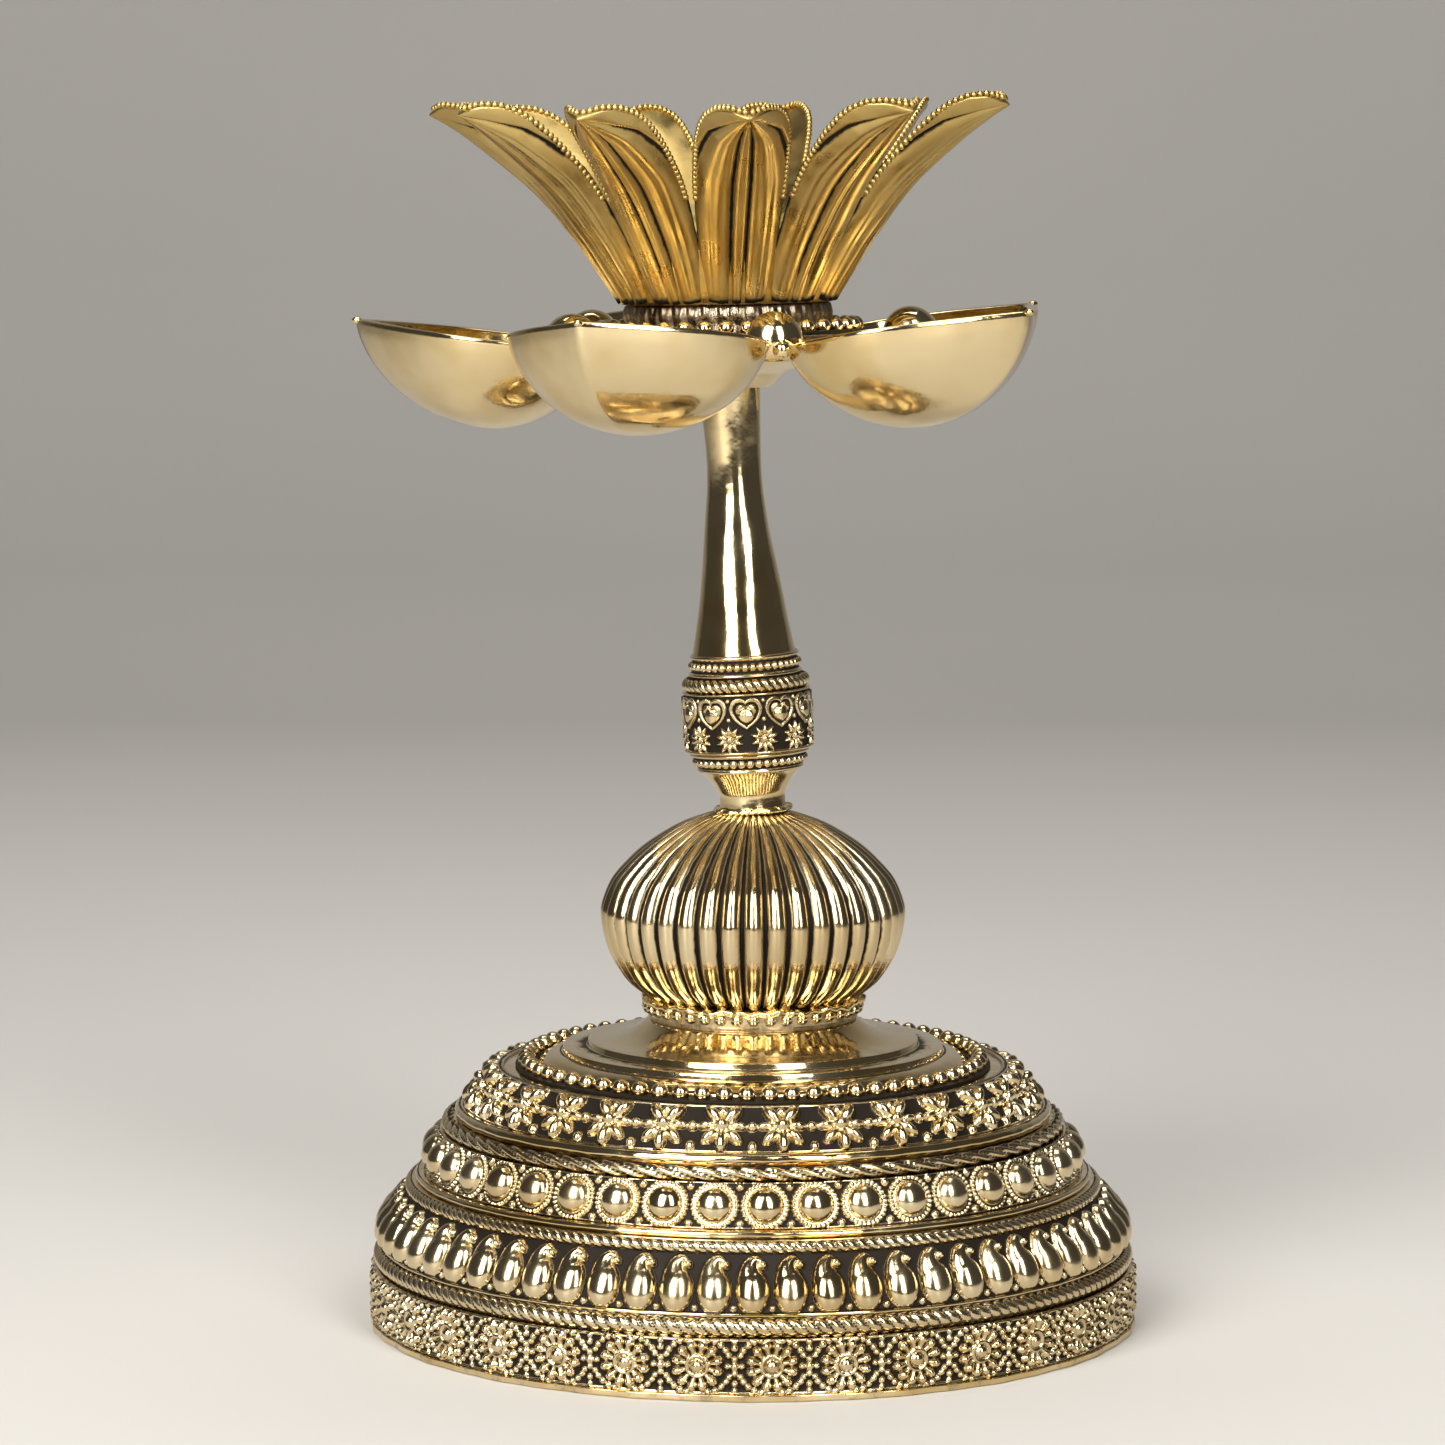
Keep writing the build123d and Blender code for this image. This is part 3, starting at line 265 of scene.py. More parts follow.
def curve_through(points, count):
    """Catmull-Rom curve through 2-D points, evenly spread."""
    p = np.asarray(points, float)
    p = np.vstack([2 * p[0] - p[1], p, 2 * p[-1] - p[-2]])
    out = []
    for i in range(1, len(p) - 2):
        t = np.linspace(0, 1, 24, endpoint=False)[:, None]
        a, b, c, d = p[i - 1], p[i], p[i + 1], p[i + 2]
        squared = (2 * a - 5 * b + 4 * c - d) * t**2
        cubed = (3 * b - a - 3 * c + d) * t**3
        out.append(0.5 * (2 * b + (c - a) * t + squared + cubed))
    out.append(p[-2][None, :])
    out = np.vstack(out)
    length = np.concatenate([[0], np.cumsum(np.hypot(*np.diff(out, axis=0).T))])
    even = np.linspace(0, length[-1], count)
    return np.stack([np.interp(even, length, out[:, 0]), np.interp(even, length, out[:, 1])], axis=-1)


def rounded(points, radius, steps=5):
    """Closed outline with small rounded corners; points are (radius, height)."""
    p = np.asarray(points, float)
    out = []
    for i in range(len(p)):
        a, b, c = p[i - 1], p[i], p[(i + 1) % len(p)]
        ab, cb = a - b, c - b
        la, lc = np.hypot(*ab), np.hypot(*cb)
        r = min(radius, 0.45 * la, 0.45 * lc)
        start, end = b + ab / la * r, b + cb / lc * r
        for t in np.linspace(0, 1, steps):
            out.append((1 - t) ** 2 * start + 2 * t * (1 - t) * b + t**2 * end)
    return np.array(out)


def revolve(profile, cols, closed=True, patina_and_shade=None, wobble=None):
    """Surface of revolution of (radius, height) points; wobble(angle, height) is added to the radius."""
    profile = np.asarray(profile, float)
    angle = -math.pi / 2 + np.arange(cols) * TAU / cols
    radius = profile[:, 0][:, None] + np.zeros(cols)[None, :]
    if wobble is not None:
        radius = radius + wobble(angle[None, :], profile[:, 1][:, None])
    height = profile[:, 1][:, None] + np.zeros(cols)[None, :]
    verts = np.stack([radius * np.cos(angle), radius * np.sin(angle), height], axis=-1).reshape(-1, 3)
    patina_and_shade_values = None if patina_and_shade is None else np.repeat(patina_and_shade, cols)
    return verts, grid_faces(len(profile), cols, wrap_rows=closed), patina_and_shade_values


def turn_matrix(angle):
    """Turns points, as rows, anticlockwise about the vertical."""
    c, s = math.cos(angle), math.sin(angle)
    return np.array([[c, s, 0], [-s, c, 0], [0, 0, 1]])


# ------------------------------------------------------------------ relief drawn as heights over one period
class Relief:
    """Heights in mm over one period of a band: x across (it wraps), y up from the foot of the band."""

    def __init__(self, pitch, height, cols, rows):
        self.pitch = pitch
        self.x, self.y = np.meshgrid((np.arange(cols) / cols - 0.5) * pitch, np.linspace(0, height, rows))
        self.h = np.zeros_like(self.x)

    def local(self, cx, cy, turn=0.0):
        """Coordinates from a centre, along and across an axis turned by some degrees."""
        dx = (self.x - cx + self.pitch / 2) % self.pitch - self.pitch / 2
        dy = self.y - cy
        c, s = math.cos(math.radians(turn)), math.sin(math.radians(turn))
        return dx * c + dy * s, -dx * s + dy * c

    def raise_to(self, heights):
        self.h = np.maximum(self.h, heights)

    def raise_round(self, d, top):
        """Raises a round bead where d, the distance over the bead's half width, is below 1."""
        self.raise_to(np.where(d < 1, top * np.sqrt(np.clip(1 - d**2, 0, 1)), 0))

    def dome(self, cx, cy, rx, ry, top, turn=0.0):
        a, b = self.local(cx, cy, turn)
        inside = 1 - (a / rx) ** 2 - (b / ry) ** 2
        self.raise_to(np.where(inside > 0, top * np.sqrt(np.clip(inside, 0, 1)), 0))

    def leaf(self, cx, cy, turn, start, end, width, top, sharp):
        """Tapered blade from start to end along the turned axis, widest a little before its middle."""
        a, b = self.local(cx, cy, turn)
        t = np.clip((a - start) / (end - start), 0, 1)
        half = 0.5 * width * (np.sin(math.pi * t**0.8)) ** sharp
        inside = (a > start) & (a < end) & (np.abs(b) < half)
        crown = 1 - (b / np.maximum(half, 1e-6)) ** 2
        fall = 0.45 + 0.55 * np.sin(math.pi * t)
        self.raise_to(np.where(inside, top * np.sqrt(np.clip(crown, 0, 1)) * fall, 0))

    def ring(self, cx, cy, radius, half_width, top):
        a, b = self.local(cx, cy)
        self.raise_round(np.abs(np.hypot(a, b) - radius) / half_width, top)

    def milgrain(self, cx, cy, radius, grain, count, top):
        """Circle of small grains."""
        a, b = self.local(cx, cy)
        step = TAU / count
        nearest = np.round(np.arctan2(b, a) / step) * step
        d = np.hypot(a - radius * np.cos(nearest), b - radius * np.sin(nearest)) / grain
        self.raise_round(d, top)

    def line(self, y, half_width, top):
        self.raise_round(np.abs(self.y - y) / half_width, top)

    def grains(self, spots, radius, top):
        for cx, cy in spots:
            self.dome(cx, cy, radius, radius, top)


def wrap_band(
    node, relief, count, start_degrees, low, high, back, dark_under, where=UPRIGHT, uneven=0.0, overhang=0.0
):
    """Bends a relief round a cone between two (radius, height) ends, closed behind at the radii back.

    Relief lower than dark_under, and hollows between raised parts, get patina and painted shade; uneven
    varies its height round the band, and overhang is how far it may pass the band's ends in height.
    """
    rows, per = relief.h.shape
    cols = per * count
    heights = np.tile(relief.h, (1, count))
    shift = np.radians(start_degrees) - math.pi / count
    angle = shift + np.arange(cols) * TAU / cols
    if uneven:
        swing = np.sin(7 * angle + 1.3) + 0.7 * np.sin(17 * angle) + 0.5 * np.sin(43 * angle + 0.4)
        heights = heights * (1 + uneven * swing[None, :] / 2)
    t = np.linspace(0, 1, rows)[:, None]
    run, rise = high[0] - low[0], high[1] - low[1]
    slant = math.hypot(run, rise)
    normal = (rise / slant, -run / slant)
    radius = low[0] + run * t + heights * normal[0]
    level = low[1] + rise * t + heights * normal[1]
    level = np.clip(level, low[1] - overhang, high[1] + overhang)
    radius = np.vstack([radius, np.full((1, cols), back[1]), np.full((1, cols), back[0])])
    level = np.vstack([level, np.full((1, cols), high[1]), np.full((1, cols), low[1])])
    verts = np.stack([radius * np.cos(angle), radius * np.sin(angle), level], axis=-1).reshape(-1, 3)
    # Painted shade and patina: low relief and the hollows between raised parts darken.
    edge = heights - 0.5 * (np.roll(heights, 1, 1) + np.roll(heights, -1, 1))
    patina_and_shade = np.clip(1 - heights / dark_under, 0, 1) ** 0.8 + np.clip(-edge * 2.5, 0, 0.6)
    patina_and_shade = np.vstack([patina_and_shade, np.zeros((2, cols))]).reshape(-1)
    build(node, verts, grid_faces(rows + 2, cols, wrap_rows=True), patina_and_shade, where)


def rope(node, radius, level, wire, strands, per, twist, depth=0.24, rows=18, where=UPRIGHT, seat=None):
    """Twisted wire laid round a circle; its strands lean to the upper left."""
    cols = strands * per
    angle = -math.pi / 2 + np.arange(cols) * TAU / cols
    turn = np.arange(rows) * TAU / rows
    a, t = np.meshgrid(angle, turn)
    face = np.where(t > math.pi, t - TAU, t)
    crown = np.abs(np.sin(0.5 * (strands * a + twist * face)))
    size = wire * (1 - depth * (1 - crown**0.7))
    r = radius + size * np.cos(t)
    z = level + size * np.sin(t)
    if seat is not None:
        r = np.maximum(r, seat)
    verts = np.stack([r * np.cos(a), r * np.sin(a), z], axis=-1).reshape(-1, 3)
    # Painted shade and patina in the grooves between strands and along the top and bottom, where the rope
    # meets its neighbours.
    patina_and_shade = np.clip(1.15 - crown * 1.9, 0, 1) + 0.7 * (np.abs(np.sin(t)) > 0.93) * (np.cos(t) < 0.4)
    build(node, verts, grid_faces(rows, cols, wrap_rows=True), patina_and_shade.reshape(-1), where)


def hammered(angle, height):
    """Slight unevenness of a plain ring."""
    return 0.03 * np.sin(31 * angle + 2 * height) + 0.02 * np.sin(73 * angle)


def plain_ring(node, radius, level, wire):
    """Round wire laid round a circle, with painted shade and patina where it meets its neighbours."""
    turn = np.linspace(0, TAU, 20, endpoint=False)
    profile = np.stack([radius + wire * np.cos(turn), level + wire * np.sin(turn)], axis=-1)
    patina_and_shade = 0.75 * (np.abs(np.sin(turn)) > 0.85)
    verts, faces, patina_and_shade_values = revolve(profile, 720, patina_and_shade=patina_and_shade, wobble=hammered)
    build(node, verts, faces, patina_and_shade_values)


# ------------------------------------------------------------------ 1. base shell
FOOT = 57.0  # radius of the foot


def at(inset, height):
    """Point of the base's outline, its radius measured in from the foot."""
    return FOOT - inset, height


def foot_waviness(angle, height):
    """Uneven casting edge of the foot's lip."""
    waves = 0.10 * np.sin(19 * angle) + 0.10 * np.sin(47 * angle + 1) - 0.16
    return np.where((height < 1.05) & (height >= 0), waves, 0)


def base_profile():
    """Closed outline of the shell: up the steps outside, over the flare and down the hollow."""
    steps = rounded(
        [
            at(22.8, 0.0), at(0.3, 0.0), at(0, 0.25), at(0, 1.0), at(1.9, 1.0), at(1.9, 8.8), at(2.0, 8.8),
            at(2.0, 11.6), at(2.3, 11.6), at(2.3, 12.7), at(2.9, 12.7), at(6.3, 19.4), at(6.4, 19.4),
            at(6.4, 21.5), at(7.4, 21.5), at(7.4, 22.6), at(9.5, 22.6), at(11.9, 28.8), at(12.1, 28.8),
            at(12.1, 30.5), at(13.7, 30.5), at(13.7, 32.4), at(15.5, 32.4), at(20.1, 37.8),
            at(21.8, 37.85), at(25.0, 37.85), at(25.4, 38.7),
        ],
        0.12,
    )[5:]
    shoulder = curve_through([at(25.4, 38.7), at(26.6, 39.6), at(27.8, 40.0), at(28.8, 40.1)], 14)
    top_step = rounded(
        [at(28.8, 40.1), at(28.9, 40.95), at(32.45, 41.0), at(32.6, 41.9), at(33.8, 41.95)], 0.16
    )[5:-5]
    flare = curve_through(
        [at(33.8, 41.95), (20.6, 42.25), (18.4, 42.9), (16.7, 43.9), (15.6, 44.85), (15.3, 44.9)], 34
    )
    hollow = np.array([
        (8.0, 44.9), (8.0, 41.0), at(36.2, 38.5), at(25.2, 34.6), at(19.2, 31.0), at(12.7, 22.5),
        at(8.7, 12.0), at(5.2, 4.0), at(4.7, 0.0),
    ])
    return np.vstack([steps, shoulder[1:], top_step, flare[1:], hollow])


def make_base_shell():
    """Polished shell with painted shade and patina: dark rings in the corners of its upper steps and under
    the shoulder beads, and the shell below the shoulder a little dark.
    """
    profile = base_profile()
    # Painted shade and patina: the shell below the shoulder, behind the bands, a little dark; darker rings in
    # the corners further on.
    patina_and_shade = np.where(profile[:, 1] > 37.9, 0.0, 0.35)
    verts, faces, patina_and_shade_values = revolve(profile, 900, patina_and_shade=patina_and_shade, wobble=foot_waviness)
    from_axis = np.hypot(verts[:, 0], verts[:, 1])
    grime_and_shade = np.zeros(len(verts))
    for inset, width in ((23.4, 1.45), (28.5, 0.35), (32.2, 0.3)):
        corner = 1.2 * np.clip(1 - np.abs(from_axis - (FOOT - inset)) / width, 0, 1)
        grime_and_shade = np.maximum(grime_and_shade, corner)
    patina_and_shade_values = np.maximum(patina_and_shade_values, np.where(verts[:, 2] > 37.0, grime_and_shade, 0))
    build("base_shell", verts, faces, patina_and_shade_values, sharp=50)


# ------------------------------------------------------------------ 2. ornament bands of the base
def make_rosette_band():
    """Twelve drops round a collared button, tied to their neighbours by arcs of granules."""
    count = 34
    band = Relief(TAU * (FOOT - 1.0) / count, 7.8, 62, 44)
    mid = 3.95
    for k in range(12):
        turn = 15 + 30 * k
        c, t = math.cos(math.radians(turn)), math.sin(math.radians(turn))
        band.dome(2.42 * c, mid + 2.42 * t, 1.0, 0.42, 0.78, turn)
        band.dome(2.92 * c, mid + 2.92 * t, 0.78, 0.68, 1.05, turn)
    band.ring(0, mid, 1.42, 0.34, 0.72)
    band.dome(0, mid, 1.08, 1.08, 1.12)
    edge_x = band.pitch / 2
    for side in (-1, 1):
        for x, y in ((1.50, 3.66), (2.45, 3.42), (3.30, 2.90), (3.95, 2.20)):
            band.grains([(side * x, mid + y), (side * x, mid - y)], 0.50, 0.66)
        near_edge = side * (edge_x - 0.8)
        spots = [(side * (edge_x - 1.0), mid), (near_edge, mid + 1.5), (near_edge, mid - 1.5)]
        band.grains(spots, 0.46, 0.7)
    band.grains([(edge_x, mid + y) for y in (1.0, -1.0, 2.5, -2.5)], 0.50, 0.72)
    band.grains([(edge_x, mid + 3.4), (edge_x, mid - 3.4)], 0.46, 0.6)
    band.dome(edge_x, mid, 0.66, 0.66, 0.85)
    band.line(0.16, 0.22, 0.45)
    band.line(7.64, 0.22, 0.45)
    back = (FOOT - 1.9, FOOT - 1.9)
    wrap_band("rosette_band", band, count, -87.6, at(1.0, 1.0), at(1.0, 8.8), back, 0.42, uneven=0.10)


def make_paisley_band():
    """Fat drops whose tips curl over to the right into a small ball."""
    count = 64
    band = Relief(TAU * (FOOT - 3.3) / count, 8.4, 36, 56)
    band.dome(-0.05, 3.1, 2.42, 3.4, 2.05)
    spine = curve_through([(-0.1, 3.9), (-0.45, 5.4), (-0.35, 6.6), (0.30, 7.4), (1.05, 7.3)], 26)
    for t, (x, y) in zip(np.linspace(0, 1, len(spine)), spine):
        r = 1.9 * (1 - t) ** 0.9 + 0.42
        band.dome(x, y, r, r, 1.85 * (1 - 0.50 * t))
    band.dome(1.42, 6.75, 0.64, 0.64, 1.2)
    band.grains([(band.pitch / 2, 0.6)], 0.5, 0.65)
    low, high, back = at(1.75, 12.25), at(5.55, 19.7), (FOOT - 2.9, FOOT - 6.3)
    wrap_band("paisley_band", band, count, -84.7, low, high, back, 0.34, uneven=0.05, overhang=0.45)


def make_boss_band():
    """Half balls in milgrain rings that touch, with granules between them."""
    count = 42
    band = Relief(TAU * (FOOT - 9.8) / count, 6.65, 50, 48)
    mid = 3.32
    band.dome(0, mid, 2.62, 2.62, 2.0)
    band.ring(0, mid, 2.80, 0.24, 0.45)
    band.milgrain(0, mid, 3.14, 0.34, 30, 0.66)
    edge_x = band.pitch / 2
    band.grains([(edge_x, 0.70), (edge_x, 5.95)], 0.60, 0.62)
    band.line(0.10, 0.18, 0.4)
    band.line(6.55, 0.18, 0.4)
    low, high, back = at(8.6, 22.6), at(11.0, 28.8), (FOOT - 9.5, FOOT - 11.9)
    wrap_band("boss_band", band, count, -88.25, low, high, back, 0.26, uneven=0.05)


def make_star_flower_band():
    """Button, side petals tied by beads, diagonals, a bud above and a long petal below."""
    count = 30
    band = Relief(TAU * (FOOT - 16.9) / count, 7.8, 62, 56)
    mid = 4.15
    edge_x = band.pitch / 2
    for turn, out, long_r, wide_r, top in (
        (0, 2.20, 1.55, 0.72, 1.2), (180, 2.20, 1.55, 0.72, 1.2), (52, 2.30, 1.85, 1.02, 1.6),
        (128, 2.30, 1.85, 1.02, 1.6), (-46, 2.25, 1.70, 0.88, 1.4), (-134, 2.25, 1.70, 0.88, 1.4),
        (-90, 2.45, 1.95, 0.90, 1.6),
    ):
        c, t = math.cos(math.radians(turn)), math.sin(math.radians(turn))
        band.dome(out * c, mid + out * t, long_r, wide_r, top, turn)
    band.dome(0, mid, 1.15, 1.15, 1.9)
    band.dome(0, 6.5, 0.80, 0.80, 1.1)
    band.dome(edge_x, mid, 0.85, 0.85, 1.15)
    band.dome(edge_x, 0.95, 0.70, 0.95, 0.95)
    band.line(7.6, 0.16, 0.35)
    band.line(0.15, 0.2, 0.4)
    low, high, back = at(14.4, 32.2), at(19.5, 38.1), (FOOT - 15.5, FOOT - 20.1)
    wrap_band("star_flower_band", band, count, -84.45, low, high, back, 0.40, uneven=0.10)


def make_shoulder_beads():
    """Ring of balls on the shoulder, on a seat darkened with painted shade and patina, their undersides also
    darkened.
    """
    outline = rounded([at(25.0, 37.85), at(21.8, 37.85), at(21.8, 38.25), at(25.0, 38.45)], 0.15)
    seat = revolve(outline, 360, patina_and_shade=np.full(len(outline), 0.9))
    beads = spheres(circle_points(FOOT - 23.4, 39.0, 66, -91.75), 1.28, 20, 14, underside_patina_and_shade=0.9)
    build("shoulder_bead_ring", *join([seat] + beads))


# ------------------------------------------------------------------ 3. collar, fluted bulb, braze
def make_bulb_foot_collar():
    """Collar under the bulb with a row of small drops."""
    outline = rounded([(8.0, 44.9), (15.3, 44.9), (15.5, 45.5), (15.6, 47.5), (8.0, 47.5)], 0.2)
    # Painted shade and patina: the collar a little dark, the drops darker underneath.
    parts = [revolve(outline, 360, patina_and_shade=np.full(len(outline), 0.5))]
    drops = circle_points(15.5, 46.75, 40, -90.0)
    parts += spheres(drops, 1.0, 14, 10, squash=(0.95, 0.95, 0.95), underside_patina_and_shade=0.6)
    build("bulb_foot_collar", *join(parts))


def make_bulb_foot_braze():
    """Seam of braze whose outer edge has run out unevenly."""
    seam = rounded([(14.9, 47.5), (16.4, 47.2), (16.5, 48.0), (15.5, 48.35), (8.0, 48.2), (8.0, 47.5)], 0.3)
    verts, faces, _ = revolve(seam, 480)
    a = np.arctan2(verts[:, 1], verts[:, 0])
    r = np.hypot(verts[:, 0], verts[:, 1])
    outside = r > 12
    run_out = 0.35 * np.sin(9 * a + 0.6) + 0.28 * np.sin(23 * a + 2) + 0.22 * np.sin(51 * a + 1)
    grow = np.where(outside, 0.5 * run_out, 0)
    verts[:, :2] *= ((r + grow) / r)[:, None]
    verts[:, 2] += np.where(outside, 0.35 * np.sin(13 * a) + 0.3 * np.sin(37 * a + 1), 0) * 0.5
    build("bulb_foot_braze", verts, faces)


BULB_SIDE_POINTS = [
    (15.6, 48.2), (17.6, 49.7), (19.1, 51.2), (20.9, 54.0), (21.9, 56.6), (22.45, 59.6), (22.35, 62.0),
    (20.95, 65.5), (18.9, 68.0), (15.9, 70.7), (11.4, 73.5), (7.6, 75.0), (5.6, 75.6),
]


def make_fluted_bulb():
    """Bulb of forty round ribs with patina and painted shade in its grooves, closed inside round the stem's
    seat.
    """
    rows, ribs, per = 110, 40, 16
    side = curve_through(BULB_SIDE_POINTS, rows)
    side_r, side_z = side[:, 0][:, None], side[:, 1][:, None]
    cols = ribs * per
    angle = -math.pi / 2 + (np.arange(cols) + per / 2) * TAU / cols
    rib = np.abs(np.sin(0.5 * ribs * (angle + math.pi / 2) + math.pi / 2))
    shallow = np.clip(side[:, 0] / 22.0, 0.2, 1)[:, None]
    depth = 1.6 * shallow * (1 - np.clip(rib, 0, 1)[None, :] ** 0.6)
    slope = np.gradient(side, axis=0)
    slope /= np.hypot(*slope.T)[:, None]
    radius = side_r - depth * slope[:, 1][:, None]
    level = side_z + depth * slope[:, 0][:, None]
    radius = np.vstack([radius, np.full((1, cols), 3.0), np.full((1, cols), 3.0)])
    level = np.vstack([level, np.full((1, cols), 75.5), np.full((1, cols), 48.3)])
    verts = np.stack([radius * np.cos(angle), radius * np.sin(angle), level], axis=-1).reshape(-1, 3)
    # Painted shade and patina in the grooves, fainter where the bulb narrows.
    patina_and_shade = np.clip(1.35 - 2.2 * rib, 0, 1)[None, :] + np.zeros((rows, 1))
    patina_and_shade = patina_and_shade * np.clip(0.55 + 0.45 * (side_r / 20), 0, 1)
    patina_and_shade = np.vstack([patina_and_shade, np.zeros((2, cols))]).reshape(-1)
    build("fluted_bulb", verts, grid_faces(rows + 2, cols, wrap_rows=True), patina_and_shade)


# ------------------------------------------------------------------ 4. leaning stem and its knop
def stem_dents(angle, height):
    """Slight unevenness of the turned stem."""
    return 0.05 * np.sin(3 * angle + height / 4) + 0.03 * np.sin(5 * angle - height / 3) * (height > 24)


def make_stem():
    """Leaning baluster with the core of its knop, and the tray's pivot on top."""
    taper = curve_through([(4.9, 0.8), (4.85, 1.9), (4.95, 2.9), (5.9, 4.5), (6.9, 5.7), (7.3, 6.3)], 26)
    baluster = curve_through(
        [
            (7.6, 23.6), (7.2, 25.6), (6.6, 29.0), (5.9, 33.5), (5.2, 38.5), (4.55, 43.5), (4.1, 48.0),
            (4.0, 52.0), (4.2, 57.0), (4.5, 62.4),
        ],
        70,
    )
    core = np.array([
        (6.5, 6.3), (6.5, 9.3), (8.3, 9.3), (8.3, 18.2), (8.4, 18.2), (8.4, 20.3), (6.8, 20.3), (6.8, 23.6),
    ])
    profile = np.vstack([[(2.9, 0.8)], taper, core, baluster, [(2.6, 62.5)]])
    # Darker towards the neck braze and towards the knop; the knop's core, hidden under its bands, fully dark.
    taper_darkening = np.linspace(0.3, 0.1, len(taper))
    baluster_darkening = np.linspace(0.25, 0.0, len(baluster)) ** 1.5
    stem_darkening = np.concatenate([[0], taper_darkening, np.ones(len(core)), baluster_darkening, [0]])
    verts, faces, patina_and_shade_values = revolve(profile, 260, patina_and_shade=stem_darkening, wobble=stem_dents)
    shank = (place(verts, LEAN), faces, patina_and_shade_values)
    pivot = rounded([(2.5, -0.4), (4.3, -0.4), (3.6, 0.0), (3.6, 7.5), (2.5, 7.5)], 0.15)
    verts, faces, patina_and_shade_values = revolve(pivot, 96)
    build("stem", *join([shank, (place(verts, TRAY), faces, patina_and_shade_values)]), sharp=60)


def make_neck_braze():
    """Lumpy bead of braze at the stem's foot, with seven drips."""
    blob = rounded([(2.9, 0.0), (5.6, 0.0), (5.9, 0.25), (5.7, 0.75), (4.9, 0.9), (2.9, 0.8)], 0.25)
    verts, faces, patina_and_shade_values = revolve(blob, 240)
    a = np.arctan2(verts[:, 1], verts[:, 0])
    r = np.hypot(verts[:, 0], verts[:, 1])
    grow = np.where(r > 4, 0.14 * np.sin(5 * a) + 0.12 * np.sin(11 * a + 2) - 0.05, 0)
    verts[:, :2] *= ((r + grow) / r)[:, None]
    drips = spheres(circle_points(5.15, 0.55, 7, -97.0), 0.62, 14, 10, squash=(1.25, 1.1, 0.75))
    build("neck_braze", *join([(verts, faces, patina_and_shade_values)] + drips), where=LEAN)


def bead_ring_relief(radius, height, count):
    """One bead between two thin wires."""
    band = Relief(TAU * radius / count, height, 14, 30)
    band.line(0.35, 0.36, 0.42)
    band.line(height - 0.35, 0.36, 0.42)
    band.dome(0, height / 2, 0.62, min(0.62, height / 2 - 0.6), 0.60)
    return band


def make_knop_rings():
    """Bead rings under and over the knop, and the rope between its belt and the upper ring."""
    low = bead_ring_relief(7.95, 3.25, 40)
    wrap_band("knop_lower_bead_ring", low, 40, -90, (7.3, 6.3), (8.6, 9.3), (6.5, 6.5), 0.25, where=LEAN)
    high = bead_ring_relief(7.8, 3.3, 42)
    wrap_band("knop_upper_bead_ring", high, 42, -90, (8.0, 20.3), (7.6, 23.6), (6.8, 6.8), 0.25, where=LEAN)
    rope("knop_rope", 8.4, 19.25, 1.05, 44, 14, 2.2, depth=0.3, where=LEAN, rows=20, seat=8.2)


def heart(band, cx, cy, size, rim, top):
    """Outlined heart: a rounded rim round a raised, faceted inner heart."""
    def inside(scale):
        x, y = band.local(cx, cy)
        x, y = x / scale, y / scale
        return -((x**2 + y**2 - 1) ** 3 - x**2 * y**3)

    body, groove, core = inside(size), inside(size * 0.80), inside(size * 0.66)
    band.raise_to(np.where((body > 0) & (groove < 0), rim, 0))
    x, y = band.local(cx, cy)
    facets = 1 - 0.30 * np.abs(x) - 0.12 * np.abs(y)
    band.raise_to(np.where(core > 0, top * facets * np.clip(core * 6, 0, 1) ** 0.4, 0))


def make_knop_belt():
    """Hearts over ten-petal daisies on black ground."""
    count, belt_radius, daisy_y = 11, 9.1, 2.25
    band = Relief(TAU * belt_radius / count, 8.9, 76, 96)
    heart(band, 0, 5.75, 2.05, 0.52, 0.80)
    daisy_x = band.pitch / 2
    for k in range(10):
        band.leaf(daisy_x, daisy_y, 36 * k + 18, 0.50, 2.15, 0.78, 0.58, 0.8)
    band.dome(daisy_x, daisy_y, 0.62, 0.62, 0.65)
    band.grains([(daisy_x, 5.15), (daisy_x, 7.9)], 0.38, 0.4)
    band.line(0.22, 0.26, 0.45)
    band.line(8.75, 0.2, 0.35)
    low, high, back = (belt_radius, 9.3), (belt_radius, 18.2), (8.3, 8.3)
    wrap_band("knop_belt", band, count, -91.5, low, high, back, 0.34, where=LEAN)


# ------------------------------------------------------------------ 5. tray, beads, bowls, domes
TRAY_EDGE_RADIUS = 19.8
RIM_IN = 5.8  # height of a bowl's rim at the tray's edge
BOWL_TILT = math.radians(8.0)
BOWL_TIP, BOWL_LENGTH, BOWL_WIDTH, BOWL_DEPTH, BOWL_WALL = 55.2, 37.0, 37.0, 13.4, 1.3
FIRST_BOWL, BOWL_STEP = -112.0, 72  # degrees
# how the leaf shrinks (second) with the depth (first)
BOWL_SIDE = curve_through(
    [(0.0, 1.0), (0.18, 0.955), (0.42, 0.85), (0.66, 0.68), (0.86, 0.45), (0.965, 0.22), (1.0, 0.02)], 400
)
DOME_REACH, DOME_RADIUS, DOME_Z = 26.6, 4.1, 7.4
KNOB_REACH, KNOB_RADIUS = 30.7, 1.3  # small ball on the outer side of each dome


def make_tray_hub():
    """Turned middle of the tray, with painted shade and patina on top under its beads."""
    outline = rounded([(3.65, 0.05), (6.2, 0.05), (8.2, 2.05), (19.8, 5.9), (19.8, 7.9), (3.65, 7.9)], 0.45)
    verts, faces, patina_and_shade_values = revolve(outline, 240, patina_and_shade=np.where(outline[:, 1] > 7.5, 0.55, 0.0))
    build("tray_hub", verts, faces, patina_and_shade_values, where=TRAY)


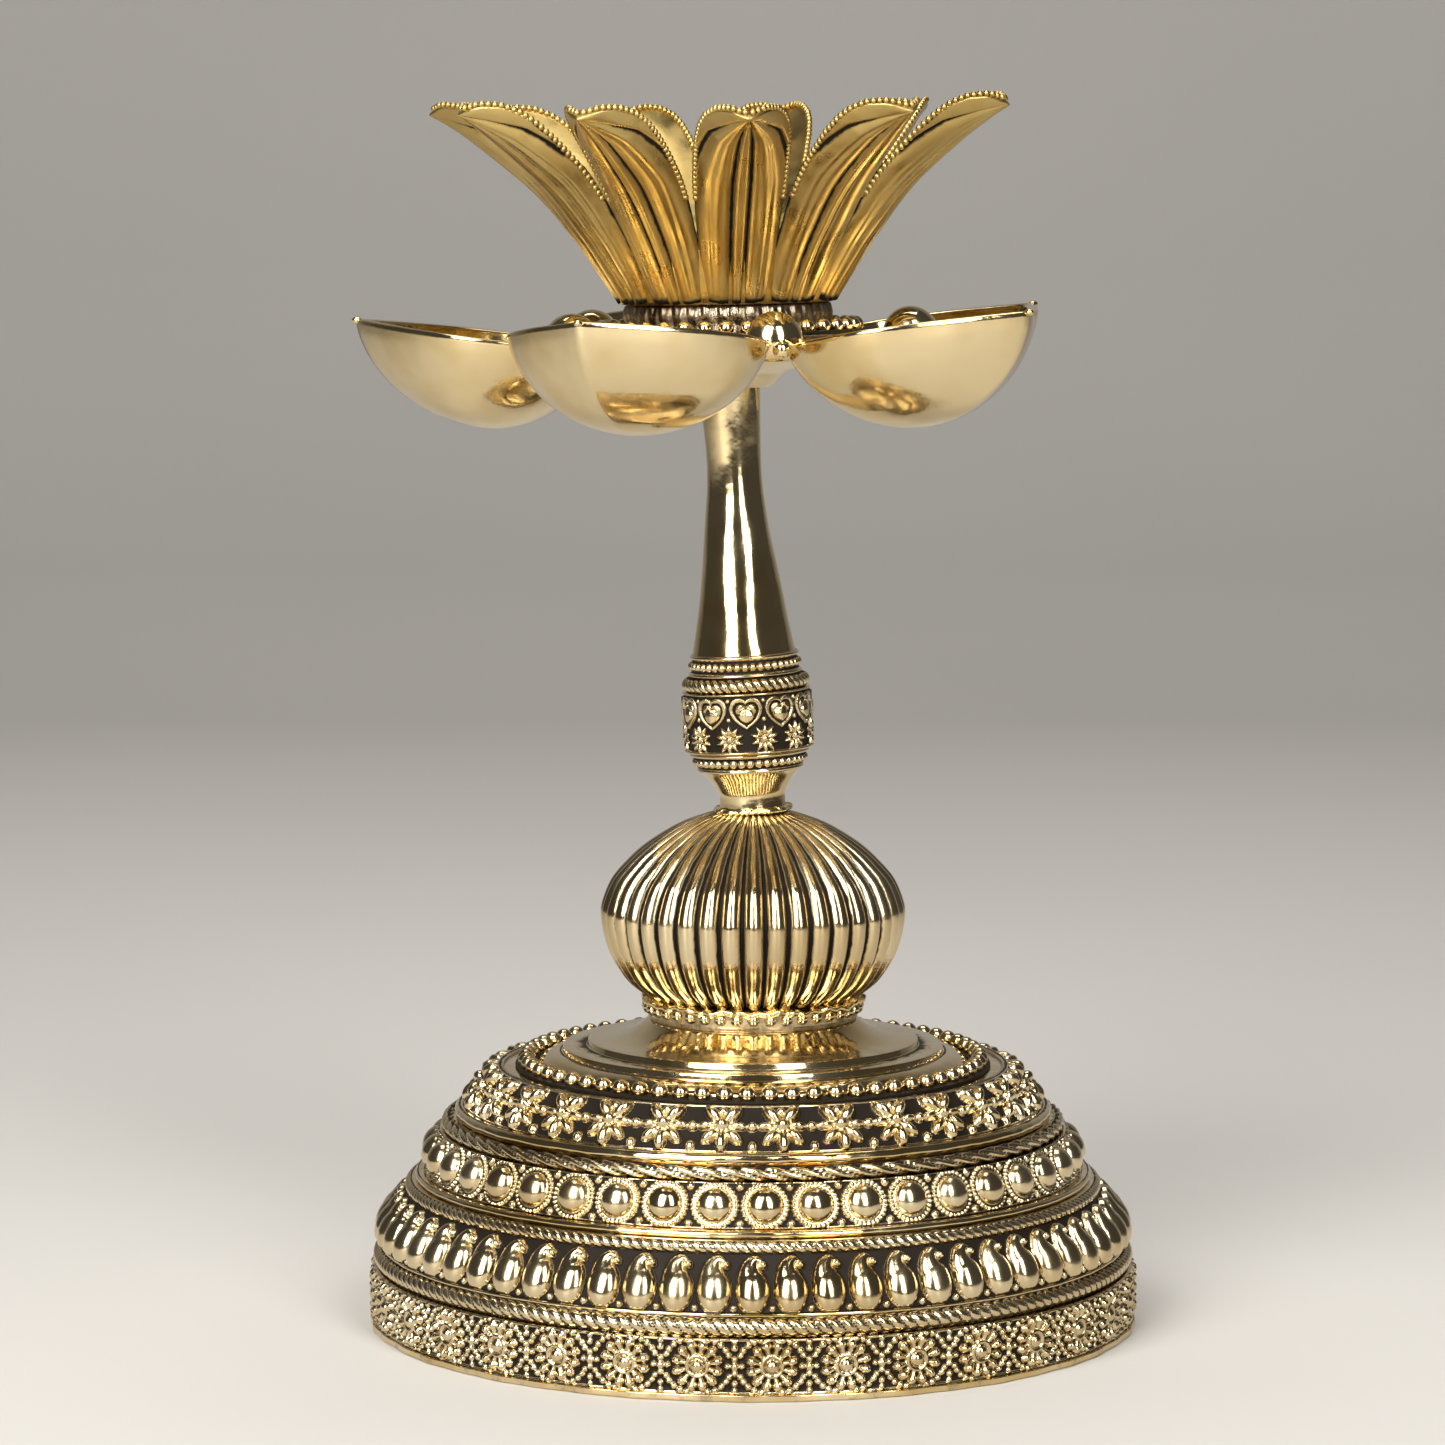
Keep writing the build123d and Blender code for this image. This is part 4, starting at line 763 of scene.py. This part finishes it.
def make_tray_bead_ring():
    """Balls round the tray's edge, on a seat darkened with painted shade and patina, their undersides also
    darkened.
    """
    outline = rounded([(17.6, 7.9), (19.8, 7.9), (19.8, 8.3), (17.6, 8.4)], 0.15)
    seat = revolve(outline, 240, patina_and_shade=np.full(len(outline), 0.95))
    beads = spheres(circle_points(18.7, 9.0, 38, -91.0), 1.15, 20, 14, underside_patina_and_shade=0.9)
    build("tray_bead_ring", *join([seat] + beads), where=TRAY)


def leaf_outline(samples, shrink=0.0):
    """Half of a bowl's rim, from tip to inner end: (along, across) from the middle."""
    back = BOWL_LENGTH / 2 - shrink
    front = BOWL_LENGTH / 2 - 1.6 * shrink
    wide = BOWL_WIDTH / 2 - shrink
    return curve_through(
        [
            (front, 0), (0.90 * front, 0.18 * wide), (0.62 * front, 0.58 * wide), (0.32 * front, 0.87 * wide),
            (0, wide), (-0.42 * back, 0.965 * wide), (-0.78 * back, 0.76 * wide), (-0.95 * back, 0.40 * wide),
            (-back, 0),
        ],
        samples,
    )


def bowl_rows(shrink, depth, rows, samples, lift=0.0):
    """Rows of points in the frame of the rim's plane, from the bottom up to the rim."""
    half = leaf_outline(samples, shrink)
    loop = np.vstack([half, half[-2:0:-1] * (1, -1)])
    picks = BOWL_SIDE[np.linspace(len(BOWL_SIDE) - 1, 0, rows).astype(int)]
    out = []
    for drop, scale in picks:
        middle = BOWL_TIP - TRAY_EDGE_RADIUS - BOWL_LENGTH / 2 - 2.0 * (1 - scale)
        point = np.zeros((len(loop), 3))
        point[:, 0] = middle + loop[:, 0] * scale
        point[:, 1] = loop[:, 1] * scale
        point[:, 2] = lift - depth * drop
        out.append(point)
    return np.array(out)


def make_bowl(node, degrees):
    """Leaf-shaped bowl with a rounded lip and a nub at its tip, tilted up and cut round at the tray."""
    samples, rows = 60, 40
    outside = bowl_rows(0.0, BOWL_DEPTH, rows, samples)
    inside = bowl_rows(BOWL_WALL, BOWL_DEPTH - BOWL_WALL, rows, samples)[::-1]
    lips = []
    for share, lift in ((0.1, 0.3), (0.5, 0.42), (0.9, 0.28)):
        lips.append(bowl_rows(share * BOWL_WALL, BOWL_DEPTH, 2, samples, lift)[-1:])
    grid = np.concatenate([outside] + lips + [inside])
    levels, count = grid.shape[:2]
    points = grid.reshape(-1, 3)
    faces = grid_faces(levels, count).tolist()
    faces.append(list(range(count))[::-1])
    faces.append(list(range((levels - 1) * count, levels * count)))
    nub_verts, nub_faces, _ = spheres(
        [(BOWL_TIP - TRAY_EDGE_RADIUS - 0.2, 0, 0.1)], 0.72, 14, 10, squash=(1.1, 0.85, 0.7)
    )[0]
    faces += (nub_faces + len(points)).tolist()
    points = np.vstack([points, nub_verts])
    c, s = math.cos(BOWL_TILT), math.sin(BOWL_TILT)
    tilt = np.array([[c, 0, s], [0, 1, 0], [-s, 0, c]])
    points = points @ tilt + (TRAY_EDGE_RADIUS, 0, RIM_IN)
    near = np.hypot(points[:, 0], points[:, 1])
    cuts_in = (near < TRAY_EDGE_RADIUS) & (points[:, 2] > 2)
    points[:, :2] *= np.where(cuts_in, TRAY_EDGE_RADIUS / np.maximum(near, 1e-6), 1.0)[:, None]
    # Painted shade and patina: the inner face a little darker.
    patina_and_shade = np.zeros(len(points))
    first_inside = (rows + len(lips)) * count
    patina_and_shade[first_inside : first_inside + rows * count] = 0.2
    build(node, points @ turn_matrix(math.radians(degrees)), faces, patina_and_shade, where=TRAY)


def make_dome(node, degrees):
    """Half-sunk ball with a small ball before it, flat below."""
    theta = math.radians(degrees)
    c, s = math.cos(theta), math.sin(theta)
    ball = spheres([(DOME_REACH * c, DOME_REACH * s, DOME_Z)], DOME_RADIUS, 40, 28)
    small = spheres([(KNOB_REACH * c, KNOB_REACH * s, DOME_Z - 1.3)], KNOB_RADIUS, 20, 14)
    verts, faces, patina_and_shade_values = join(ball + small)
    verts[:, 2] = np.maximum(verts[:, 2], DOME_Z - 3.0)
    build(node, verts, faces, patina_and_shade_values, where=TRAY)


# ------------------------------------------------------------------ 6. washer, stud, lotus
def washer_knobs(angle, height):
    """Knobbly edge of the dark collar."""
    return 0.10 * np.sin(27 * angle) + 0.12 * np.sin(41 * angle + height) + 0.08 * np.sin(83 * angle) - 0.15


def make_lotus_washer():
    """Dark collar under the lotus."""
    outline = rounded(
        [(2.55, 7.95), (15.4, 7.95), (15.1, 9.4), (15.4, 10.9), (15.0, 12.3), (2.55, 12.3)], 0.5
    )
    verts, faces, patina_and_shade_values = revolve(outline, 420, wobble=washer_knobs)
    build("lotus_washer", verts, faces, patina_and_shade_values, where=TRAY)


def make_lotus_stud():
    """Stud with the grooves of a 1.25 mm thread."""
    low, high, pitch = -12.15, 14.6, 1.25
    level = np.linspace(low, high, 420)
    thread = np.stack([2.45 - 0.22 * (0.5 + 0.5 * np.cos(level * TAU / pitch)), level], axis=-1)
    profile = np.vstack([[(0.05, low)], thread, [(0.05, high)]])
    verts, faces, patina_and_shade_values = revolve(profile, 40, closed=False)
    build("lotus_stud", verts, faces, patina_and_shade_values, where=TRAY)


# middle line of a petal's outer face, from its foot to its tip
PETAL_SIDE = curve_through(
    [
        (16.1, 12.35), (17.8, 15.0), (19.6, 17.7), (21.5, 20.5), (23.6, 23.2), (26.0, 26.2), (28.8, 29.2),
        (32.2, 32.2), (35.6, 35.0), (38.8, 37.5), (41.2, 39.2), (42.7, 40.1), (43.2, 40.5),
    ],
    400,
)
PETAL_RUN = np.concatenate([[0], np.cumsum(np.hypot(*np.diff(PETAL_SIDE, axis=0).T))])
PETAL_RUN /= PETAL_RUN[-1]
PETALS = 11
FIRST_PETAL = -85.4  # degrees
FRONT_SAG = 2.4  # how much lower the tip of a petal that points at the viewer hangs


def side_at(v):
    """Point of the petal's middle line at the share v of its length."""
    radius = np.interp(v, PETAL_RUN, PETAL_SIDE[:, 0])
    height = np.interp(v, PETAL_RUN, PETAL_SIDE[:, 1])
    return np.stack([radius, height], axis=-1)


def petal_half_width(v):
    """Half width of a petal, widest at about two thirds of its length."""
    return np.interp(
        v,
        (0, 0.18, 0.35, 0.50, 0.62, 0.72, 0.80, 0.86, 0.92, 0.96, 0.985, 1.0),
        (4.45, 5.45, 6.15, 6.55, 6.75, 6.75, 6.45, 5.80, 4.5, 3.1, 1.9, 0.5),
    )


def petal_point(u, v, lift):
    """Point of a petal before turning: u across, v up the middle, lift out of the outer face."""
    p = side_at(v)
    ahead = np.minimum(v + 0.004, 1.0)
    q = side_at(ahead) - side_at(ahead - 0.008)
    q /= np.hypot(q[..., 0], q[..., 1])[..., None]
    out_r, out_z = q[..., 1], -q[..., 0]
    half = petal_half_width(v)
    bend = np.interp(v, (0, 0.3, 0.6, 0.8, 0.92, 1.0), (0.20, 0.26, 0.42, 0.52, 0.60, 0.55))
    sink = bend * half * np.abs(u) ** 2.0
    radial = p[..., 0] + (lift - sink) * out_r
    height = p[..., 1] + (lift - sink) * out_z
    across = half * u * (1 - 0.10 * np.abs(u) ** 3 * np.clip(v - 0.5, 0, 1))
    return np.stack([radial, across, height], axis=-1)


def petal_ridges(u, v):
    """Two full lobes and a narrow middle ridge that draw together at the tip, inside a smooth margin."""
    spread = np.interp(v, (0, 0.55, 0.80, 0.92, 1.0), (1.02, 1.0, 0.74, 0.46, 0.22))
    w = u / spread

    def bump(centre, half):
        return np.clip(1 - ((w - centre) / half) ** 2, 0, 1) ** 0.6

    lobes = np.maximum(bump(-0.60, 0.40), bump(0.60, 0.40))
    lobes = lobes * (1 - 0.16 * np.exp(-(((np.abs(w) - 0.66) / 0.06) ** 2)))
    middle = bump(0, 0.17) * (0.88 - 0.14 * np.exp(-((w / 0.03) ** 2)))
    margin = 0.62 * np.clip((np.abs(w) - 1.0) * 7, 0, 1)
    return np.maximum(np.maximum(lobes, middle), margin)


def petal_sheet():
    """Ribbed outer face and plain inner face of a petal as one closed sheet."""
    rows, cols = 90, 72
    v, u = np.meshgrid(1 - (1 - np.linspace(0, 1, rows)) ** 1.15, np.linspace(-1, 1, cols), indexing="ij")
    ridge = petal_ridges(u, v)
    ridge_tall = np.interp(v, (0, 0.1, 0.5, 0.82, 0.95, 1.0), (0.8, 1.2, 1.35, 1.1, 0.5, 0.1))
    outer_face = petal_point(u, v, ridge_tall * (ridge - 1.0))
    thick = np.interp(v, (0, 0.3, 0.8, 1.0), (2.0, 1.8, 1.5, 0.8)) * (1 - 0.35 * np.abs(u) ** 4)
    inner_face = petal_point(u * 0.985, v, -thick)
    # Painted shade and patina: the grooves between ridges, the side edges below the widest place and the foot
    # of the outer face darken; the inner face darkens towards its foot.
    outer_patina_and_shade = np.clip(1.15 - ridge * 2.0, 0, 1) * np.interp(v, (0, 0.86, 0.97), (1, 1, 0))
    outer_patina_and_shade = np.maximum(outer_patina_and_shade, np.clip((np.abs(u) - 0.95) * 16, 0, 1) * (v < 0.8))
    outer_patina_and_shade = np.maximum(outer_patina_and_shade, np.clip(1 - v * 22, 0, 1))
    inner_patina_and_shade = np.clip((0.55 - v) * 2.2, 0, 0.9)
    verts = np.concatenate([outer_face, inner_face[:, ::-1]], axis=1).reshape(-1, 3)
    patina_and_shade_values = np.concatenate([outer_patina_and_shade, inner_patina_and_shade[:, ::-1]], axis=1).reshape(-1)
    faces = grid_faces(rows, 2 * cols).tolist()
    top = (rows - 1) * 2 * cols
    for c in range(cols - 1):
        faces.append([top + c, top + c + 1, top + 2 * cols - 2 - c, top + 2 * cols - 1 - c])
        faces.append([c + 1, c, 2 * cols - 1 - c, 2 * cols - 2 - c])
    return verts, faces, patina_and_shade_values


def petal_grains():
    """Beads along both rims of a petal, from below its widest place to its tip."""
    centres = []
    for side in (-1, 1):
        rim = petal_point(np.full(200, 0.97 * side), np.linspace(0.42, 1.0, 200), np.full(200, -0.95))
        run = np.concatenate([[0], np.cumsum(np.linalg.norm(np.diff(rim, axis=0), axis=1))])
        for distance in np.arange(0.3, run[-1], 0.94):
            centres.append([np.interp(distance, run, rim[:, k]) for k in range(3)])
    return spheres(centres, 0.50, 10, 7)


def make_lotus_petals():
    """Eleven beaded petals; those in front hang lower at the tip."""
    verts, faces, patina_and_shade_values = join([petal_sheet()] + petal_grains())
    for index in range(PETALS):
        angle = math.radians(FIRST_PETAL + index * 360 / PETALS)
        sag = FRONT_SAG * max(0.0, -math.sin(angle)) ** 2
        bent = verts - np.outer(sag * np.clip((verts[:, 0] - 18) / 25, 0, 1) ** 1.5, (0, 0, 1))
        build(f"lotus_petal_{index + 1}", bent @ turn_matrix(angle), faces, patina_and_shade_values, where=TRAY)


def make_lotus_cup():
    """Cup that holds the petals, with a low boss in its floor."""
    outline = rounded(
        [
            (0.05, 12.35), (15.6, 12.35), (19.6, 20.35), (18.4, 20.35), (14.4, 14.75), (5.5, 14.75),
            (5.5, 16.75), (0.05, 16.75),
        ],
        0.5,
    )
    # Painted shade and patina, a little dark all over.
    verts, faces, patina_and_shade_values = revolve(outline, 300, patina_and_shade=np.full(len(outline), 0.22))
    build("lotus_cup", verts, faces, patina_and_shade_values, where=TRAY)


# ------------------------------------------------------------------ 7. all pieces, from the foot up
make_base_shell()
make_rosette_band()
make_paisley_band()
make_boss_band()
make_star_flower_band()
rope("foot_rope", FOOT - 2.0, 10.2, 1.35, 200, 10, 2.9)
rope("middle_rope", FOOT - 6.4, 20.45, 1.0, 210, 9, 2.6)
rope("upper_twist", FOOT - 11.95, 29.75, 1.12, 84, 22, 4.0, depth=0.50)
plain_ring("lower_ledge_ring", FOOT - 2.1, 11.85, 0.36)
plain_ring("middle_ledge_ring", FOOT - 7.4, 22.05, 0.5)
plain_ring("upper_ledge_ring", FOOT - 13.7, 31.45, 0.9)
make_shoulder_beads()
make_bulb_foot_collar()
make_bulb_foot_braze()
make_fluted_bulb()
make_stem()
make_neck_braze()
make_knop_rings()
make_knop_belt()
make_tray_hub()
make_tray_bead_ring()
for index in range(5):
    make_bowl(f"oil_bowl_{index + 1}", FIRST_BOWL + BOWL_STEP * index)
    make_dome(f"dome_boss_{index + 1}", FIRST_BOWL + BOWL_STEP / 2 + BOWL_STEP * index)
make_lotus_washer()
make_lotus_stud()
make_lotus_petals()
make_lotus_cup()

# ------------------------------------------------------------------ stage: floor, light, camera
def plain(name, colour, rough):
    """Matt material of one colour with a faint change of tone."""
    mat, nodes, links, shader = new_material(name)
    coords = nodes.new("ShaderNodeTexCoord")
    tone = ramp(nodes, links, noise(nodes, links, coords, 3, 2), 0.2, 0.8)
    darker = tuple(0.96 * c for c in colour)
    links.new(mix_colour(nodes, links, tone, colour, darker), shader.inputs["Base Color"])
    shader.inputs["Roughness"].default_value = rough
    return mat


def make_floor():
    """Floor that curves up into a back wall."""
    mesh = bpy.data.meshes.new("floor")
    across = np.linspace(-2.0, 2.0, 9)
    side = [(-1.6, 0.0), (0.9, 0.0), (1.15, 0.03), (1.35, 0.14), (1.48, 0.35), (1.52, 0.7), (1.52, 2.2)]
    verts = [(x, y, z) for y, z in side for x in across]
    mesh.from_pydata(verts, [], grid_faces(len(side), len(across), wrap_cols=False).tolist())
    mesh.polygons.foreach_set("use_smooth", np.ones(len(mesh.polygons), bool))
    floor = bpy.data.objects.new("floor", mesh)
    bpy.context.scene.collection.objects.link(floor)
    mesh.materials.append(plain("pale_floor", (0.56, 0.545, 0.52), 0.6))


def area_light(name, place_at, aim, size, power, colour):
    """Rectangular light at one point, aimed at another."""
    data = bpy.data.lights.new(name, "AREA")
    data.shape = "RECTANGLE"
    data.size, data.size_y = size
    data.energy = power
    data.color = colour
    light = bpy.data.objects.new(name, data)
    light.location = place_at
    direction = np.array(aim) - np.array(place_at)
    light.rotation_euler = Vector(direction).to_track_quat("-Z", "Y").to_euler()
    bpy.context.scene.collection.objects.link(light)


def make_world():
    """Dim, even light from all round."""
    world = bpy.data.worlds.new("studio")
    world.use_nodes = True
    background = world.node_tree.nodes["Background"]
    background.inputs["Color"].default_value = (0.50, 0.47, 0.45, 1)
    background.inputs["Strength"].default_value = 0.14
    bpy.context.scene.world = world


def make_camera():
    """Long lens a little above the middle of the lamp, looking slightly down."""
    data = bpy.data.cameras.new("camera")
    data.lens = 127.0
    data.sensor_width = 36
    data.clip_start = 0.05
    camera = bpy.data.objects.new("camera", data)
    camera.location = (-0.0045, -0.7475, 0.163)
    camera.rotation_euler = (math.radians(90 - 5.675), 0, 0)
    bpy.context.scene.collection.objects.link(camera)
    bpy.context.scene.camera = camera


make_floor()
LAMP_MIDDLE = (0, 0, 0.12)
SOFTBOX_COLOUR = (1.0, 0.98, 0.95)
area_light("softbox_left", (-0.46, -0.80, 0.66), LAMP_MIDDLE, (0.56, 1.05), 18, SOFTBOX_COLOUR)
area_light("softbox_right", (0.42, -0.86, 0.66), LAMP_MIDDLE, (0.34, 1.05), 10.5, SOFTBOX_COLOUR)
area_light("top_fill", (0.0, 0.25, 1.1), (0, 0, 0.05), (0.7, 0.5), 5, (1.0, 0.97, 0.93))
make_world()
make_camera()
bpy.context.scene.view_settings.view_transform = "Standard"
